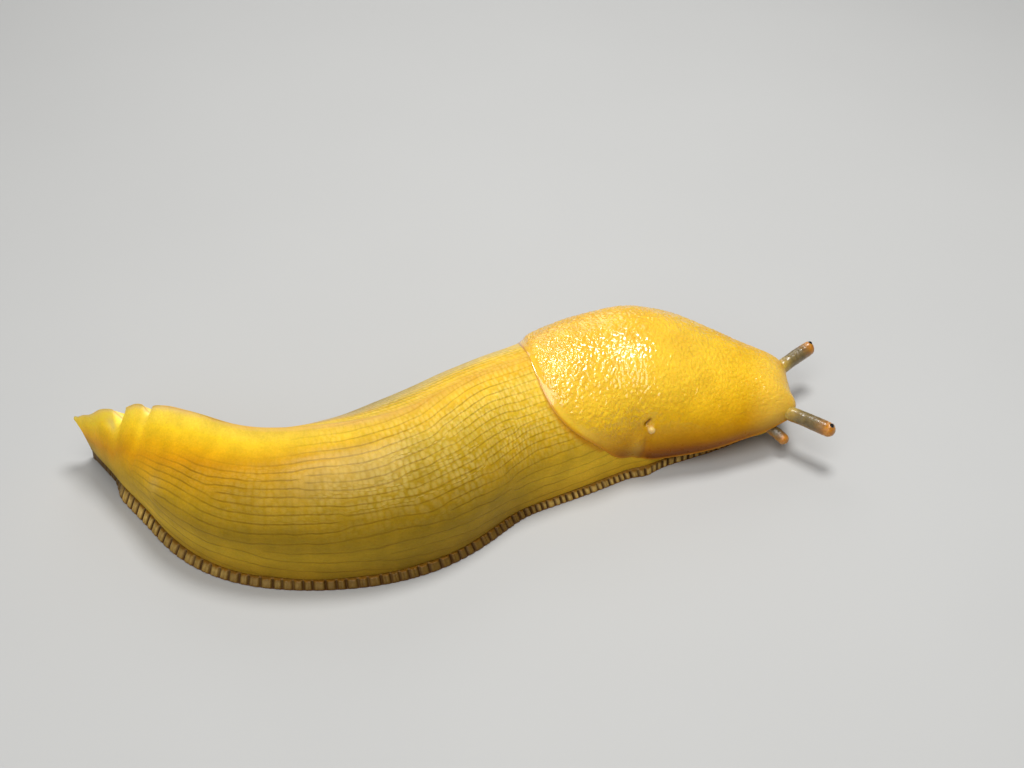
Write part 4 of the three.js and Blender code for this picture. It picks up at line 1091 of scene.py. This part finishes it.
# One stalk: rings square to a quadratic curve whose middle is lifted, then a round cap.
def tentacle(pair, side, material):
    sign = {"left": 1, "right": -1}[side]
    (rootAt, rootOut, rootZ), (tipAt, tipOut, tipZ) = stalks[pair][side]
    start = along(np.array(rootAt), sign * rootOut, rootZ)
    tip = along(np.array(tipAt), sign * tipOut, tipZ)
    middle = 0.5 * (start + tip) + np.array([0, 0, stalks["lift"]])
    radii = stalks[pair]["radii"]
    share = np.linspace(0, 1, stalks["rings"])
    radius = np.interp(share, np.linspace(0, 1, len(radii)), radii)
    cap = np.linspace(0, np.pi / 2, stalks["capRings"])[1:]
    share = np.concatenate([share, np.ones(len(cap))])[:, None]
    forward = np.concatenate([np.zeros(stalks["rings"]), radii[-1] * np.sin(cap)])[:, None]
    radius = np.concatenate([radius, radii[-1] * np.cos(cap)])
    centre = (1 - share) ** 2 * start + 2 * share * (1 - share) * middle + share ** 2 * tip
    heading = unit(2 * (1 - share) * (middle - start) + 2 * share * (tip - middle))
    across = unit(np.cross(heading, [0, 0, 1]))
    up = np.cross(across, heading)
    centre = centre + heading * forward
    turn = np.linspace(0, 2 * np.pi, stalks["around"], endpoint=False)[None, :, None]
    outwards = across[:, None] * np.cos(turn) + up[:, None] * np.sin(turn)
    ring = centre[:, None] + outwards * radius[:, None, None]
    wrinkle = sum(waves(ring, *row) for row in stalks["wrinkles"])
    wrinkle = wrinkle * np.minimum(radius / radii[-1], 1)[:, None]
    if pair == "upper":
        lengthwise, upwards = stalks["eyeSeat"]
        rimHigh, rimWide = stalks["eyeRim"]
        eye = tip + heading[-1] * stalks["bulb"] * lengthwise
        eye = eye + np.array([0, 0, stalks["bulb"] * upwards])
        wrinkle = wrinkle + rimHigh * np.exp(-(np.linalg.norm(ring - eye, axis=-1) / rimWide) ** 4)
    ring = ring + outwards * wrinkle[..., None]
    ring[-1] = ring[-1].mean(axis=0)
    ring[0] = ring[0].mean(axis=0)
    under = stalks["lowerTint"] * (pair == "lower") - outwards[..., 2] * stalks["underTint"]
    masks = {"share": np.repeat(share, stalks["around"], axis=1), "under": np.clip(under, 0, 1)}
    meshPiece(f"tentacle_{pair}_{side}_skin", ring, gridFaces(*ring.shape[:2]), masks,
              material, [f"tentacle_{pair}_{side}"])


tentacleMaterial = paintTentacles(stalks)
for pair in ("upper", "lower"):
    for side in ("left", "right"):
        tentacle(pair, side, tentacleMaterial)


# Eyes keep their own solids with a black, wet finish.
def paintEye():
    paint = Nodes("blackEye")
    tints = [(0.3, (0.004, 0.004, 0.004)), (0.7, (0.012, 0.010, 0.009))]
    tint = paint.ramp(paint.grain(0.3, 2), tints)
    return paint.finish({"Base Color": tint, "Roughness": 0.12, "Coat Weight": 1.0,
                         "Coat Roughness": 0.03})


eyeMaterial = paintEye()
for side in ("left", "right"):
    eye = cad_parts[f"eye_{side}"]
    eye.data.materials.clear()
    eye.data.materials.append(eyeMaterial)
print("slug: tentacles and eyes are done")

# Studio: a pale floor, soft lights behind and above, a weak fill in front, and the camera.
studio = {
    "floorSize": 3.0, "floorTint": (0.47, 0.47, 0.46), "world": 0.12,
    "camera": {"target": (10.31, 24.56, 0.0), "distance": 285.0, "elevation": 40.0, "lens": 50.0},
    "lights": {
        "overhead": {"from": (70, 110, 440), "size": 0.16, "power": 1.5},
        "sky": {"from": (20, -190, 420), "size": 0.35, "power": 1.05},
        "behind": {"from": (-60, 380, 260), "size": 0.30, "power": 0.4},
        "fill": {"from": (-220, -420, 260), "size": 0.50, "power": 0.7},
    },
}


# Floor: one pale tint, a little darker in soft patches.
def paintFloor(tint):
    paint = Nodes("paleFloor")
    darker = tuple(0.98 * part for part in tint)
    colour = paint.ramp(paint.grain(60, 2), [(0.3, darker), (0.7, tint)])
    return paint.finish({"Base Color": colour, "Roughness": 0.85})


reach = studio["floorSize"] / 2
corners = [(x * reach, y * reach, 0) for x, y in ((-1, -1), (1, -1), (1, 1), (-1, 1))]
floorMesh = bpy.data.meshes.new("floor")
floorMesh.from_pydata(corners, [], [(0, 1, 2, 3)])
floorMesh.materials.append(paintFloor(studio["floorTint"]))
floorPlane = bpy.data.objects.new("floor", floorMesh)
bpy.context.scene.collection.objects.link(floorPlane)

world = bpy.data.worlds.new("softStudio")
world.use_nodes = True
background = world.node_tree.nodes["Background"]
background.inputs["Color"].default_value = (1, 1, 1, 1)
background.inputs["Strength"].default_value = studio["world"]
bpy.context.scene.world = world
bpy.context.scene.view_settings.view_transform = "Standard"

view = studio["camera"]
target = Vector(view["target"]) * mm


# A lamp or a camera at a place, aimed at the target.
def aimed(name, data, location):
    holder = bpy.data.objects.new(name, data)
    holder.location = location
    holder.rotation_euler = (target - holder.location).to_track_quat("-Z", "Y").to_euler()
    bpy.context.scene.collection.objects.link(holder)
    return holder


for lampName, light in studio["lights"].items():
    lamp = bpy.data.lights.new(lampName, "AREA")
    lamp.shape = "DISK"
    lamp.size = light["size"]
    lamp.energy = light["power"]
    aimed(lampName, lamp, Vector(light["from"]) * mm)

lookDown = np.radians(view["elevation"])
lens = bpy.data.cameras.new("photographView")
lens.lens = view["lens"]
lens.clip_start, lens.clip_end = 0.01, 20
way = Vector((0, -np.cos(lookDown), np.sin(lookDown)))
camera = aimed("photographView", lens, target + way * (view["distance"] * mm))
bpy.context.scene.camera = camera
